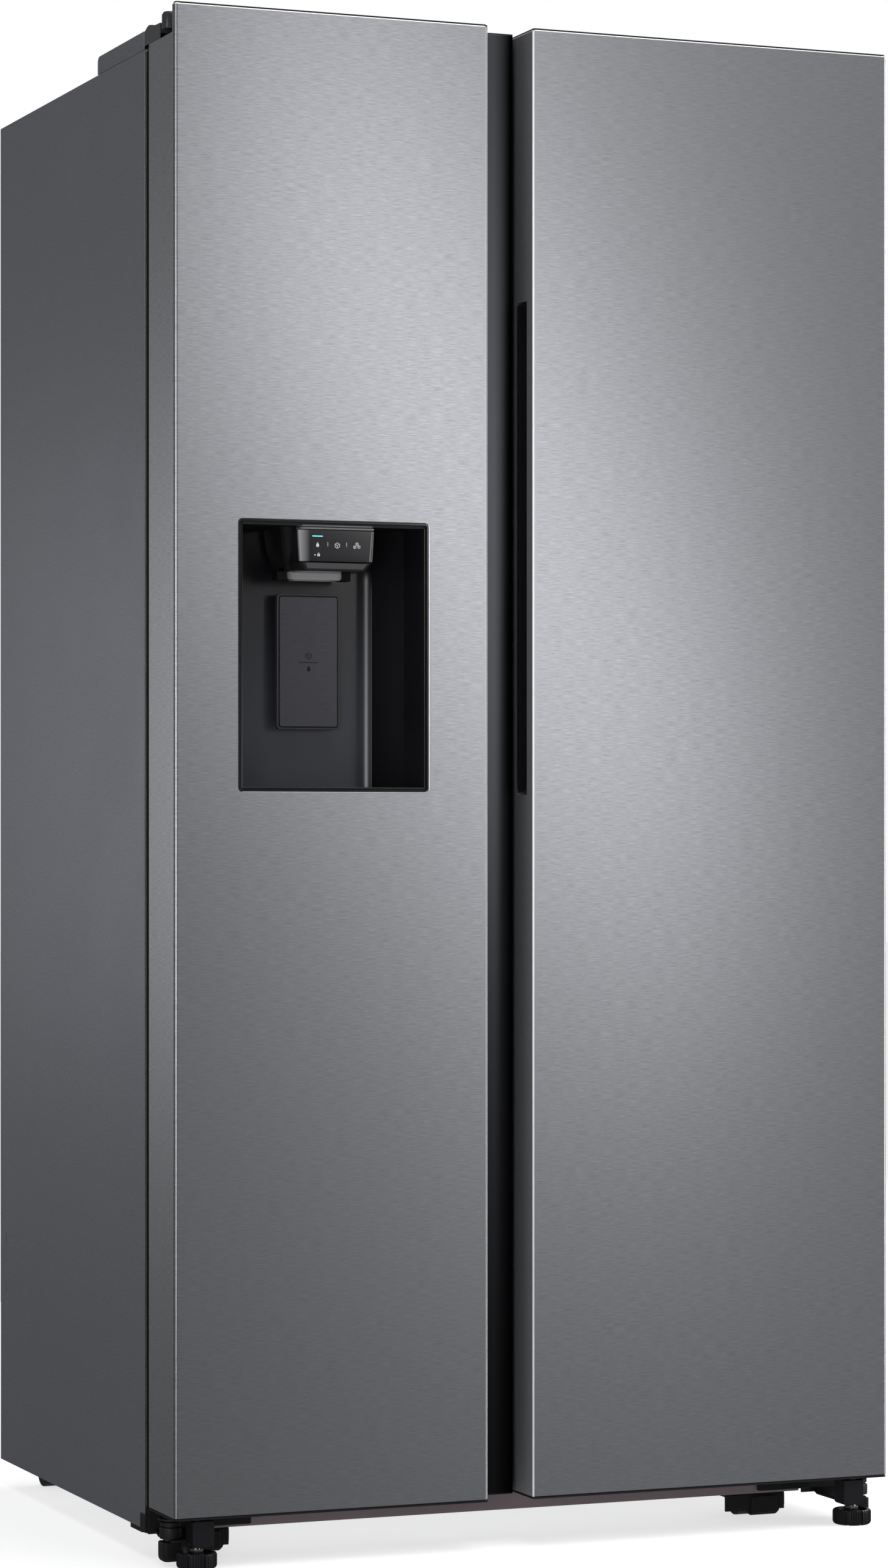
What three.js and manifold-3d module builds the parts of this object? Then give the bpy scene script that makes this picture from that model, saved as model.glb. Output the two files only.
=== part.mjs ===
// A side by side refrigerator with an ice and water dispenser, as an assembly of separate parts.
// Units are millimetres. +X is to the right, +Y to the back and +Z up.
// The origin is on the floor, under the middle of the whole appliance.
import * as THREE from "three";
import { mergeVertices } from "three/addons/utils/BufferGeometryUtils.js";
import Module from "manifold-3d";

const wasm = await Module();
wasm.setup();

// ---------------------------------------------------------------- driving dimensions

const HALF_WIDTH = 456;
const DOOR_FRONT = -358;
const DOOR_BACK = -262;
const DOOR_BOTTOM = 58;
const DOOR_TOP = 1789.5;
const CABINET_FRONT = -251;
const CABINET_BACK = 358;
const CABINET_BOTTOM = 33;
const CABINET_TOP = 1752;

const SHEET = 1; // thickness of the steel sheet
const GAP = 0.3; // air between parts that touch
const FOAM_BOTTOM = 60;

// Left to right: freezer door, centre recess, fridge door.
const FREEZER_DOOR_EDGE = -69;
const FREEZER_FLANGE_EDGE = -18;
const FLANGE_FRONT = -309;
const FRIDGE_DOOR_EDGE = -12.4;
const DOOR_CORNER_RADIUS = 7;

// Door hinges, one mirrored pair at top and bottom.
const HINGE_X = 443;
const HINGE_Y = -304;
const PIN_RADIUS = 6;
const PIN_HOLE_RADIUS = 6.4;
const PIN_ROOM = 3; // air past a pin's end
const TOP_PIN_BOTTOM = 1730;
const BOTTOM_PIN_TOP = 75;
const NOTCH_EDGE = 399; // the door's top corner is cut down between here and its side
const NOTCH_FRONT = -350;
const NOTCH_FLOOR = 1755;

// Grip pockets in the doors' facing sides.
const POCKET_FRONT = -339;
const POCKET_DEPTH = 27;
const POCKET_BOTTOM = 887;
const POCKET_TOP = 1470;

// Compartments behind the doors.
const FREEZER_LEFT = -410;
const FREEZER_RIGHT = -50;
const FRIDGE_LEFT = 20;
const FRIDGE_RIGHT = 410;
const ROOM_FLOOR = 110;
const ROOM_CEILING = 1700;
const ROOM_BACK = 298;
const STEP_START = 90; // the floor rises here, over the machine compartment
const STEP_END = 120;
const STEP_HEIGHT = 280;
const LINER = 2;
const RAIL_MIDDLE = -17;

// Machine compartment at the bottom of the back.
const MACHINE_FRONT = 150;
const MACHINE_TOP = 235;

// Dispenser in the freezer door.
const BEZEL_LEFT = -379;
const BEZEL_RIGHT = -144.3;
const BEZEL_BOTTOM = 889;
const BEZEL_TOP = 1202.5;
const DISPENSER_X = (BEZEL_LEFT + BEZEL_RIGHT) / 2;
const RECESS_BACK = -260;
const RECESS_BACK_HALF = 76;
const RECESS_WALL = 2.5;
const RECESS_FLOOR = 903;
const BOSS_BACK = -170; // the door's inside bulges this far behind the dispenser
const BOSS_TOP = 1216;
const BOSS_BOTTOM = 880;
const BOSS_SIDES = [-382, -143];
const CHUTE_HALF = 28;
const CHUTE_FRONT = -250;
const CHUTE_BACK = -180;
const CHUTE_MOUTH = [1148, 1180]; // heights of the opening in the recess

// Feet and rollers.
const FOOT_X = 421;
const FOOT_Y = -333;
const FOOT_RADIUS = 23.4;
const FOOT_HEIGHT = 18;
const STUD_RADIUS = 5;
const STUD_TOP = 56;
const AXLE_RADIUS = 4;
const ROLLER_BORE = 4.4;
const FRONT_ROLLER = { radius: 20, width: 26, y: -222, z: 20.5, xs: [-397, 327] };
const REAR_ROLLER = { radius: 22, width: 24, y: 318, z: 22, xs: [-400, 400] };

// Door bins and what stands behind them.
const BIN_BACK = -165;
const STORE_FRONT = -138; // fronts of the drawers and of the ice bucket
const STORE_HALF = 384; // they stop this far out, to slide past their open door
const SHELF_FRONT = -120;
const FRIDGE_RIBS = [50, 380]; // outer sides of the upright ribs that carry the bins
const FREEZER_RIBS = [-380, -80];
const FRIDGE_BINS = [
  ["lower", 420],
  ["middle", 860],
  ["upper", 1300],
];
const FREEZER_BINS = [
  ["lower", 420],
  ["upper", 1330],
];
const FRIDGE_SHELVES = [
  ["lower", 575],
  ["middle", 950],
  ["upper", 1325],
];

// ---------------------------------------------------------------- materials

function finish(color, roughness, metalness = 0, opacity = 1) {
  return new THREE.MeshStandardMaterial({
    color,
    roughness,
    metalness,
    opacity,
    transparent: opacity < 1,
  });
}

const brushedSteel = finish(0x9a9b9e, 0.35, 1);
const paintedCase = finish(0x5d5f64, 0.55, 0.4);
const zincSteel = finish(0xa8abae, 0.4, 1);
const darkSteel = finish(0x2a2a2c, 0.5, 0.6);
const railSteel = finish(0x48404a, 0.5, 0.5);
const blackPlastic = finish(0x1a1a1d, 0.45);
const glossBlack = finish(0x0c0c0e, 0.12);
const whiteLiner = finish(0xeef0f2, 0.35);
const foam = finish(0xd9cf9e, 0.9);
const clearPlastic = finish(0xdfe8ee, 0.15, 0, 0.4);
const shelfGlass = finish(0xcfe3e2, 0.05, 0, 0.4);
const softRubber = finish(0x8b8d90, 0.7);
const greyPlastic = finish(0x6a6b6e, 0.5);
const aluminium = finish(0xb9bcc0, 0.35, 1);
const compressorPaint = finish(0x151517, 0.4, 0.3);

// ---------------------------------------------------------------- solids

/** A three.js geometry as a solid that can be joined and cut. */
function solid(geometry) {
  const bare = geometry.clone();
  bare.deleteAttribute("normal");
  bare.deleteAttribute("uv");
  const merged = mergeVertices(bare, 1e-4);
  return new wasm.Manifold(
    new wasm.Mesh({
      numProp: 3,
      vertProperties: new Float32Array(merged.attributes.position.array),
      triVerts: new Uint32Array(merged.index.array),
    }),
  );
}

/** A box between two values along each axis. */
function block([x0, x1], [y0, y1], [z0, z1]) {
  const box = new THREE.BoxGeometry(x1 - x0, y1 - y0, z1 - z0);
  box.translate((x0 + x1) / 2, (y0 + y1) / 2, (z0 + z1) / 2);
  return solid(box);
}

/** A cylinder along one axis, from a start point over a length. */
function rod(axis, [x, y, z], radius, length, sides = 24) {
  const cylinder = new THREE.CylinderGeometry(radius, radius, length, sides);
  cylinder.translate(0, length / 2, 0);
  if (axis === "z") cylinder.rotateX(Math.PI / 2);
  if (axis === "x") cylinder.rotateZ(-Math.PI / 2);
  return solid(cylinder).translate([x, y, z]);
}

/** A polygon swept along one axis. Its points are (X, Y), (Y, Z) or (X, Z) pairs. */
function prism(axis, points, from, to) {
  const shape = new THREE.Shape(points.map(([a, b]) => new THREE.Vector2(a, b)));
  const swept = new THREE.ExtrudeGeometry(shape, { depth: to - from, bevelEnabled: false });
  const flat = solid(swept);
  if (axis === "z") return flat.translate([0, 0, from]);
  if (axis === "x") return flat.rotate([90, 0, 90]).translate([from, 0, 0]);
  return flat.rotate([90, 0, 0]).translate([0, to, 0]);
}

function join(...solids) {
  return solids.reduce((whole, next) => whole.add(next));
}

function cut(body, ...tools) {
  return tools.reduce((left, tool) => left.subtract(tool), body);
}

/** An open-topped box with walls of one thickness. */
function tub([x0, x1], [y0, y1], [z0, z1], wall) {
  const inside = block([x0 + wall, x1 - wall], [y0 + wall, y1 - wall], [z0 + wall, z1 + 1]);
  return cut(block([x0, x1], [y0, y1], [z0, z1]), inside);
}

/** Orders a pair of mirrored X values: side is -1 on the left and 1 on the right. */
function mirrored(side, near, far) {
  return side < 0 ? [-far, -near] : [near, far];
}

const refrigerator = new THREE.Group();

/** Adds one named part to the refrigerator. */
function part(name, body, material) {
  const { vertProperties, triVerts } = body.getMesh();
  const geometry = new THREE.BufferGeometry();
  geometry.setAttribute("position", new THREE.BufferAttribute(vertProperties, 3));
  geometry.setIndex(new THREE.BufferAttribute(triVerts, 1));
  geometry.computeVertexNormals();
  const mesh = new THREE.Mesh(geometry, material);
  mesh.name = name;
  refrigerator.add(mesh);
}

const SIDES = [
  ["left", -1],
  ["right", 1],
];

// ---------------------------------------------------------------- cabinet

const CASE_BACK = CABINET_BACK - SHEET - GAP;
const CASE_INSIDE = HALF_WIDTH - SHEET - GAP;
const FLANGE_INNER = 440;
const FRONT_SKIN = [CABINET_FRONT, CABINET_FRONT + SHEET];

function buildCase() {
  for (const [word, side] of SIDES) {
    const wall = block(
      mirrored(side, HALF_WIDTH - SHEET, HALF_WIDTH),
      [CABINET_FRONT, CASE_BACK],
      [CABINET_BOTTOM, CABINET_TOP],
    );
    const flange = block(
      mirrored(side, FLANGE_INNER, HALF_WIDTH - SHEET / 2),
      FRONT_SKIN,
      [CABINET_BOTTOM, CABINET_TOP],
    );
    part(`side_panel_${word}`, join(wall, flange), paintedCase);
  }
  const lid = block(
    [-CASE_INSIDE, CASE_INSIDE],
    [CABINET_FRONT, CASE_BACK],
    [CABINET_TOP - SHEET, CABINET_TOP],
  );
  const lip = block(
    [-FLANGE_INNER + GAP, FLANGE_INNER - GAP],
    FRONT_SKIN,
    [CABINET_TOP - 20, CABINET_TOP - SHEET / 2],
  );
  // The lid steps back over the side flanges, so that the sheets don't meet.
  const clearance = SIDES.map(([, side]) =>
    block(
      mirrored(side, FLANGE_INNER - GAP, HALF_WIDTH),
      [CABINET_FRONT - 1, CABINET_FRONT + SHEET + GAP],
      [CABINET_TOP - 25, CABINET_TOP + 1],
    ),
  );
  part("top_panel", join(cut(lid, ...clearance), lip), paintedCase);
  part(
    "back_panel",
    block(
      [-HALF_WIDTH, HALF_WIDTH],
      [CABINET_BACK - SHEET, CABINET_BACK],
      [MACHINE_TOP + GAP, CABINET_TOP],
    ),
    zincSteel,
  );
}

/** A compartment's space, made smaller by an inset on every side but its open front. */
function compartment([left, right], inset, front) {
  const outline = [
    [front, ROOM_FLOOR + inset],
    [STEP_START - inset / 2, ROOM_FLOOR + inset],
    [STEP_END - inset / 2, STEP_HEIGHT + inset],
    [ROOM_BACK - inset, STEP_HEIGHT + inset],
    [ROOM_BACK - inset, ROOM_CEILING - inset],
    [front, ROOM_CEILING - inset],
  ];
  return prism("x", outline, left + inset, right - inset);
}

const FREEZER_ROOM = [FREEZER_LEFT, FREEZER_RIGHT];
const FRIDGE_ROOM = [FRIDGE_LEFT, FRIDGE_RIGHT];

function buildInsulation() {
  const whole = block(
    [-CASE_INSIDE, CASE_INSIDE],
    [CABINET_FRONT + SHEET + GAP, CASE_BACK],
    [FOAM_BOTTOM, CABINET_TOP - SHEET - GAP],
  );
  const machineSpace = block(
    [-HALF_WIDTH, HALF_WIDTH],
    [MACHINE_FRONT, CABINET_BACK],
    [0, MACHINE_TOP],
  );
  const rooms = [FREEZER_ROOM, FRIDGE_ROOM].map((room) => compartment(room, 0, CABINET_FRONT));
  part("insulation", cut(whole, machineSpace, ...rooms), foam);
}

function buildLiner(name, room, [flangeLeft, flangeRight]) {
  const outer = compartment(room, GAP, CABINET_FRONT + SHEET / 2);
  const flange = block(
    [flangeLeft, flangeRight],
    FRONT_SKIN,
    [FOAM_BOTTOM + 3, CABINET_TOP - 20 - GAP],
  );
  const inner = compartment(room, GAP + LINER, CABINET_FRONT - 1);
  part(name, cut(join(outer, flange), inner), whiteLiner);
}

function buildBase() {
  const inside = [-CASE_INSIDE, CASE_INSIDE];
  const plate = block(inside, [CABINET_FRONT + SHEET + GAP, MACHINE_FRONT - GAP], [57, 59]);
  const riser = block(inside, [MACHINE_FRONT - 2 - GAP, MACHINE_FRONT - GAP], [33, 59]);
  const floor = block(inside, [MACHINE_FRONT - 2, CASE_BACK], [33, 35]);
  const wells = REAR_ROLLER.xs.map((x) => {
    const { width, radius, y } = REAR_ROLLER;
    return block([x - width / 2 - 1, x + width / 2 + 1], [y - radius - 3, y + radius + 3], [30, 40]);
  });
  const forks = REAR_ROLLER.xs.map((x) => fork(x, REAR_ROLLER, 34));
  part("base_pan", join(plate, riser, cut(floor, ...wells), ...forks), zincSteel);

  const face = block([-388, 388], [-255, -252], [30.5, 57.5]);
  const turned = block([-388, 388], [-255, -244], [30.5, 33]);
  part("base_rail", join(face, turned), railSteel);
}

/** Two cheeks and an axle that hold a roller from above. */
function fork(x, roller, top) {
  const half = roller.width / 2 + 1;
  const depth = [roller.y - 10, roller.y + 10];
  const cheeks = [-1, 1].map((way) => {
    const [near, far] = way < 0 ? [x - half - 3, x - half] : [x + half, x + half + 3];
    return block([near, far], depth, [roller.z - 9, top]);
  });
  const axle = rod("x", [x - half - 1, roller.y, roller.z], AXLE_RADIUS, 2 * half + 2, 12);
  return join(...cheeks, axle);
}

function buildRollers() {
  const wheel = (x, roller) =>
    cut(
      rod("x", [x - roller.width / 2, roller.y, roller.z], roller.radius, roller.width, 28),
      rod("x", [x - roller.width, roller.y, roller.z], ROLLER_BORE, roller.width * 2, 12),
    );
  SIDES.forEach(([word], index) => {
    const frontX = FRONT_ROLLER.xs[index];
    const roof = block([frontX - 36, frontX + 44], [-249, -196], [26.5, 30]);
    const trimmed = cut(
      roof,
      block([frontX - 14, frontX + 14], [FRONT_ROLLER.y - 22, FRONT_ROLLER.y + 22], [20, 42]),
    );
    const apron = block([frontX - 36, frontX + 44], [-249, -246], [9, 28]);
    part(
      `roller_housing_${word}`,
      join(trimmed, apron, fork(frontX, FRONT_ROLLER, 28)),
      blackPlastic,
    );
    part(`front_roller_${word}`, wheel(frontX, FRONT_ROLLER), blackPlastic);
    part(`rear_roller_${word}`, wheel(REAR_ROLLER.xs[index], REAR_ROLLER), blackPlastic);
  });
}

// ---------------------------------------------------------------- hinges and feet

function buildHinges() {
  for (const [word, side] of SIDES) {
    const pinX = side * HINGE_X;
    part(`top_hinge_${word}`, topHinge(side, pinX), darkSteel);
    part(`hinge_cover_${word}`, hingeCover(side), paintedCase);
    part(`bottom_hinge_${word}`, bottomHinge(side, pinX), darkSteel);
    part(`front_foot_${word}`, frontFoot(side * FOOT_X), blackPlastic);
  }
}

const TOP_PLATE = [1756.3, 1760.3];

function topHinge(side, pinX) {
  const [low, high] = TOP_PLATE;
  const span = mirrored(side, 412, 448);
  const plate = block(span, [HINGE_Y - 7, -80], TOP_PLATE);
  const nose = rod("z", [pinX, HINGE_Y, low], 7, high - low);
  const seat = block(span, [-245, -80], [CABINET_TOP + GAP, low + 1]);
  const pin = rod("z", [pinX, HINGE_Y, TOP_PIN_BOTTOM], PIN_RADIUS, low + 1 - TOP_PIN_BOTTOM);
  return join(plate, nose, seat, pin);
}

function hingeCover(side) {
  const onCabinet = CABINET_TOP + 2 * GAP;
  const outline = [
    [-54, onCabinet],
    [-54, 1768],
    [-64, 1776],
    [-236, 1776],
    [-246, 1782],
    [-262, 1788],
    [-288, 1788],
    [-294, 1784],
    [-297, 1767],
    [-303, 1767],
    [-304, 1780],
    [-308, 1785],
    [-318, 1785],
    [-322, 1780],
    [-322, 1756],
    [-250, 1756],
    [-250, onCabinet],
  ];
  const shell = prism("x", outline, ...mirrored(side, 406, 453));
  const hollow = block(mirrored(side, 409, 450.3), [-319, -57], [1740, 1762]);
  return cut(shell, hollow);
}

function bottomHinge(side, pinX) {
  const bentPlate = [
    [-252, 28],
    [-257, 28],
    [-268, 36],
    [-345, 36],
    [-345, 41],
    [-266, 41],
    [-255, 33],
    [-252, 33],
  ];
  const span = mirrored(side, 392, 454);
  const plate = prism("x", bentPlate, ...span);
  const upright = block(span, [-255, -251.6], [28, DOOR_BOTTOM - 1]);
  const barrelBottom = FOOT_HEIGHT + 2;
  const barrel = rod("z", [pinX, HINGE_Y, barrelBottom], 12.5, DOOR_BOTTOM - 1 - barrelBottom);
  const pin = rod("z", [pinX, HINGE_Y, 50], PIN_RADIUS, BOTTOM_PIN_TOP - 50);
  const pinHousing = block(mirrored(side, 427, 455), [-299, -268], [5, 38]);
  const legBox = block(mirrored(side, 398, 432), [-350, -318], [22, 53]);
  const arm = block(mirrored(side, 330, 400), [-262.5, -255.3], [34, 44]);
  const studHole = rod("z", [side * FOOT_X, FOOT_Y, 10], STUD_RADIUS + 0.4, 60, 16);
  return cut(join(plate, upright, barrel, pin, pinHousing, legBox, arm), studHole);
}

function frontFoot(x) {
  const disc = rod("z", [x, FOOT_Y, 0], FOOT_RADIUS, FOOT_HEIGHT, 36);
  const stud = rod("z", [x, FOOT_Y, FOOT_HEIGHT - 1], STUD_RADIUS, STUD_TOP - FOOT_HEIGHT + 1, 16);
  return join(disc, stud);
}

// ---------------------------------------------------------------- machine compartment

const VALVE_X = 375;
const VALVE_Z = 170;

// The cord's inlet fills this hole in the rear cover.
const INLET = [
  [-380, -342],
  [338, CABINET_BACK + GAP],
  [168, 198],
];

function buildMachineCompartment() {
  const shell = new THREE.LatheGeometry(
    [
      [0, 0],
      [62, 0],
      [74, 12],
      [74, 105],
      [60, 132],
      [30, 142],
      [0, 143],
    ].map(([radius, height]) => new THREE.Vector2(radius, height)),
    28,
  );
  shell.rotateX(Math.PI / 2);
  const feet = block([-330, -150], [190, 310], [36, 42]);
  part("compressor", join(solid(shell).translate([-240, 250, 41]), feet), compressorPaint);

  const core = block([70, 270], [190, 330], [60, 180]);
  const skirts = [70, 264].map((x) => block([x, x + 6], [185, 335], [36, 200]));
  part("condenser", join(core, ...skirts), darkSteel);

  part("condenser_fan", fanBlades("x", [-60, 255, 120], 62, 18), blackPlastic);

  const bracket = block([VALVE_X - 45, VALVE_X + 45], [349, 352], [120, 220]);
  const body = rod("y", [VALVE_X, 300, VALVE_Z], 20, 50, 16);
  const spout = rod("y", [VALVE_X, 351, VALVE_Z], 9, 6, 16);
  part("water_valve", join(bracket, body, spout), greyPlastic);

  part("machine_cover", machineCover(), zincSteel);
  part("power_inlet", block(...INLET.map(([low, high]) => [low + GAP, high - GAP])), blackPlastic);
}

function machineCover() {
  const plate = block([-448, 448], [CABINET_BACK - SHEET, CABINET_BACK], [36, MACHINE_TOP - GAP]);
  const slots = [];
  for (let column = 0; column < 14; column += 1) {
    const x = -300 + column * 28;
    slots.push(block([x, x + 8], [CABINET_BACK - 5, CABINET_BACK + 5], [80, 190]));
  }
  const valveHole = rod("y", [VALVE_X, CABINET_BACK - 10, VALVE_Z], 12, 20, 16);
  return cut(plate, ...slots, valveHole, block(...INLET));
}

/** A hub with flat blades, turning about the X or Y axis. */
function fanBlades(axis, [x, y, z], radius, depth) {
  const hub = rod("y", [0, -depth / 2, 0], radius * 0.3, depth, 16);
  const blades = [];
  for (let index = 0; index < 5; index += 1) {
    const blade = block([-radius * 0.22, radius * 0.22], [-1.2, 1.2], [radius * 0.2, radius]);
    blades.push(blade.rotate([0, 0, 28]).rotate([0, index * 72, 0]));
  }
  const fan = join(hub, ...blades);
  return (axis === "x" ? fan.rotate([0, 0, 90]) : fan).translate([x, y, z]);
}

// ---------------------------------------------------------------- freezer compartment

const FREEZER_MIDDLE = (FREEZER_LEFT + FREEZER_RIGHT) / 2;
const FREEZER_SPAN = [FREEZER_LEFT + 5, FREEZER_RIGHT - 5];
const FREEZER_DRAWER_SPAN = [-STORE_HALF, FREEZER_RIGHT - 6];
const LOWER_DRAWER_DEPTH = [STORE_FRONT, 80]; // they stop before the raised floor
const LOWER_DRAWER_Z = [118, 330];
const COVER_FRONT = 200;
const COVER_BACK = 204;
const VENT_Z = 900;

function buildFreezer() {
  const coverDepth = [COVER_FRONT, COVER_BACK];
  const cover = block(FREEZER_SPAN, coverDepth, [STEP_HEIGHT + 12, ROOM_CEILING - 8]);
  const vent = rod("y", [FREEZER_MIDDLE, COVER_FRONT - 10, VENT_Z], 60, 30, 28);
  const guard = block(
    [FREEZER_MIDDLE - 62, FREEZER_MIDDLE + 62],
    coverDepth,
    [VENT_Z - 4, VENT_Z + 4],
  );
  part("evaporator_cover", join(cut(cover, vent), guard), whiteLiner);

  const tank = block([-390, -70], [218, 282], [320, 700]);
  const ends = [-398, -74].map((x) => block([x, x + 12], [214, 286], [312, 708]));
  part("evaporator", join(tank, ...ends), aluminium);
  part("evaporator_fan", fanBlades("y", [FREEZER_MIDDLE, 236, VENT_Z], 55, 22), blackPlastic);

  const shelf = block(FREEZER_SPAN, [SHELF_FRONT, COVER_FRONT - 4], [880, 888]);
  part("freezer_shelf", shelf, clearPlastic);
  part("ice_maker", iceMaker(), greyPlastic);
  buildIceBucket();

  part(
    "freezer_drawer_upper",
    drawer(FREEZER_DRAWER_SPAN, [STORE_FRONT, 190], [345, 560]),
    clearPlastic,
  );
  part(
    "freezer_drawer_lower",
    drawer(FREEZER_DRAWER_SPAN, LOWER_DRAWER_DEPTH, LOWER_DRAWER_Z),
    clearPlastic,
  );
}

/** A drawer with a thick front and a lip that serves as its grip. */
function drawer([x0, x1], [y0, y1], [z0, z1]) {
  const box = tub([x0, x1], [y0, y1], [z0, z1 - 20], 3);
  const front = block([x0, x1], [y0, y0 + 6], [z0, z1]);
  const lip = block([x0 + 60, x1 - 60], [y0, y0 + 24], [z1 - 5, z1]);
  return join(box, front, lip);
}

function iceMaker() {
  const span = [FREEZER_MIDDLE - 155, FREEZER_MIDDLE + 155];
  const tray = tub(span, [-20, 120], [1590, 1640], 4);
  const drive = block(span, [119, 170], [1580, 1660]);
  const hanger = block([-330, -130], [130, 170], [1659, 1690]);
  return join(tray, drive, hanger);
}

const AUGER_Z = 1262;
const AUGER_RADIUS = 6;
const PADDLE_PITCH = 40;

function buildIceBucket() {
  const bucket = tub([-STORE_HALF, -65], [STORE_FRONT, 160], [1222, 1500], 4);
  const outlet = rod("y", [FREEZER_MIDDLE, STORE_FRONT - 5, AUGER_Z], 34, 20, 24);
  const bearing = rod("y", [FREEZER_MIDDLE, 150, AUGER_Z], AUGER_RADIUS + 0.4, 20, 16);
  part("ice_bucket", cut(bucket, outlet, bearing), clearPlastic);

  const shaft = rod("y", [FREEZER_MIDDLE, -125, AUGER_Z], AUGER_RADIUS, 293, 16);
  const paddles = [];
  for (let index = 0; index < 7; index += 1) {
    const paddle = block([-5, 5], [-3, 3], [-30, 30]).rotate([0, 0, 20]);
    paddles.push(
      paddle
        .rotate([0, index * 50, 0])
        .translate([FREEZER_MIDDLE, -110 + index * PADDLE_PITCH, AUGER_Z]),
    );
  }
  part("ice_auger", join(shaft, ...paddles), aluminium);
}

// ---------------------------------------------------------------- fridge compartment

const SHELF_SPAN = [FRIDGE_LEFT + 8, FRIDGE_RIGHT - 8];
const CRISPER_SPAN = [FRIDGE_LEFT + 7, STORE_HALF];

function buildFridge() {
  for (const [word, z] of FRIDGE_SHELVES) {
    const glass = block(SHELF_SPAN, [SHELF_FRONT, 290], [z, z + 5]);
    const frontTrim = block(SHELF_SPAN, [SHELF_FRONT - 4, SHELF_FRONT + 14], [z - 5, z + 9]);
    part(`fridge_shelf_${word}`, join(glass, frontTrim), shelfGlass);
  }
  part("crisper_upper", drawer(CRISPER_SPAN, [STORE_FRONT, 285], [345, 550]), clearPlastic);
  part("crisper_lower", drawer(CRISPER_SPAN, LOWER_DRAWER_DEPTH, LOWER_DRAWER_Z), clearPlastic);
}

// ---------------------------------------------------------------- doors

/** The outline of a door from above, drawn in by an inset, with a rounded outer front corner. */
function doorOutline(side, inner, inset, back) {
  const outer = side * (HALF_WIDTH - inset);
  const front = DOOR_FRONT + inset;
  const radius = DOOR_CORNER_RADIUS - inset;
  const points = [];
  const steps = 4;
  for (let index = 0; index <= steps; index += 1) {
    const angle = ((Math.PI / 2) * index) / steps;
    points.push([
      outer - side * radius * (1 - Math.cos(angle)),
      front + radius * (1 - Math.sin(angle)),
    ]);
  }
  return [[outer, back], ...points, [inner + side * inset, front], [inner + side * inset, back]];
}

/** Cuts the door's top corner down round its hinge. */
function hingeNotch(side) {
  return block(
    mirrored(side, NOTCH_EDGE, HALF_WIDTH + 5),
    [NOTCH_FRONT, DOOR_BACK + 5],
    [NOTCH_FLOOR, DOOR_TOP + 5],
  );
}

/** The grip pocket, with slanted ends: side is where the hinge is, so it runs that way. */
function gripPocket(side, edge) {
  const mouth = edge - side * 5;
  const floor = edge + side * POCKET_DEPTH;
  const outline = [
    [mouth, POCKET_BOTTOM - 5],
    [mouth, POCKET_TOP + 5],
    [floor, POCKET_TOP - POCKET_DEPTH],
    [floor, POCKET_BOTTOM + POCKET_DEPTH],
  ];
  return prism("y", outline, POCKET_FRONT, FLANGE_FRONT);
}

function doorSkin(side, edge, sideBack) {
  const sheet = prism("z", doorOutline(side, edge, 0, DOOR_BACK), DOOR_BOTTOM, DOOR_TOP);
  const hollow = prism(
    "z",
    doorOutline(side, edge, SHEET, DOOR_BACK + 5),
    DOOR_BOTTOM - 5,
    DOOR_TOP + 5,
  );
  const shortSide = block(
    [edge - 5, edge + 5],
    [sideBack, DOOR_BACK + 5],
    [0, DOOR_TOP + 5],
  );
  return cut(sheet, hollow, hingeNotch(side), gripPocket(side, edge), shortSide);
}

function doorCore(side, edge) {
  const inset = SHEET + GAP;
  const body = prism(
    "z",
    doorOutline(side, edge, inset, DOOR_BACK - GAP),
    DOOR_BOTTOM + 1,
    DOOR_TOP - 1,
  );
  const pin = side * HINGE_X;
  const topHole = rod("z", [pin, HINGE_Y, TOP_PIN_BOTTOM - PIN_ROOM], PIN_HOLE_RADIUS, 60);
  const bottomHole = rod("z", [pin, HINGE_Y, 40], PIN_HOLE_RADIUS, BOTTOM_PIN_TOP + PIN_ROOM - 40);
  return cut(body, hingeNotch(side), gripPocket(side, edge), topHole, bottomHole);
}

/** A ring of sealing strip round a compartment's mouth. */
function gasket([x0, x1]) {
  const depth = [DOOR_BACK + GAP, CABINET_FRONT - GAP];
  const outer = block([x0, x1], depth, [84, 1726]);
  const middle = block([x0 + 22, x1 - 22], [DOOR_BACK - 5, CABINET_FRONT + 5], [106, 1704]);
  return cut(outer, middle);
}

/** The door's inner panel: a flat sheet with two upright ribs that carry the bins. */
function innerPanel([ribLeft, ribRight], [x0, x1]) {
  const sheet = block([x0, x1], [DOOR_BACK + GAP, DOOR_BACK + 2], [110, 1700]);
  const ribs = [ribLeft, ribRight - 14].map((x) =>
    block([x, x + 14], [DOOR_BACK + 1, -190], [130, 1680]),
  );
  return join(sheet, ...ribs);
}

function bin([ribLeft, ribRight], z) {
  const span = [ribLeft + 14 + GAP, ribRight - 14 - GAP];
  return tub(span, [DOOR_BACK + 2 + GAP, BIN_BACK], [z, z + 95], 3);
}

function buildFridgeDoor() {
  part("fridge_door_skin", doorSkin(1, FRIDGE_DOOR_EDGE, DOOR_BACK), brushedSteel);
  part("fridge_door_core", doorCore(1, FRIDGE_DOOR_EDGE), blackPlastic);
  part("fridge_door_gasket", gasket([-6, 436]), softRubber);
  part("fridge_door_liner", innerPanel(FRIDGE_RIBS, [18, 412]), whiteLiner);
  for (const [word, z] of FRIDGE_BINS) {
    part(`fridge_door_bin_${word}`, bin(FRIDGE_RIBS, z), clearPlastic);
  }
}

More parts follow.
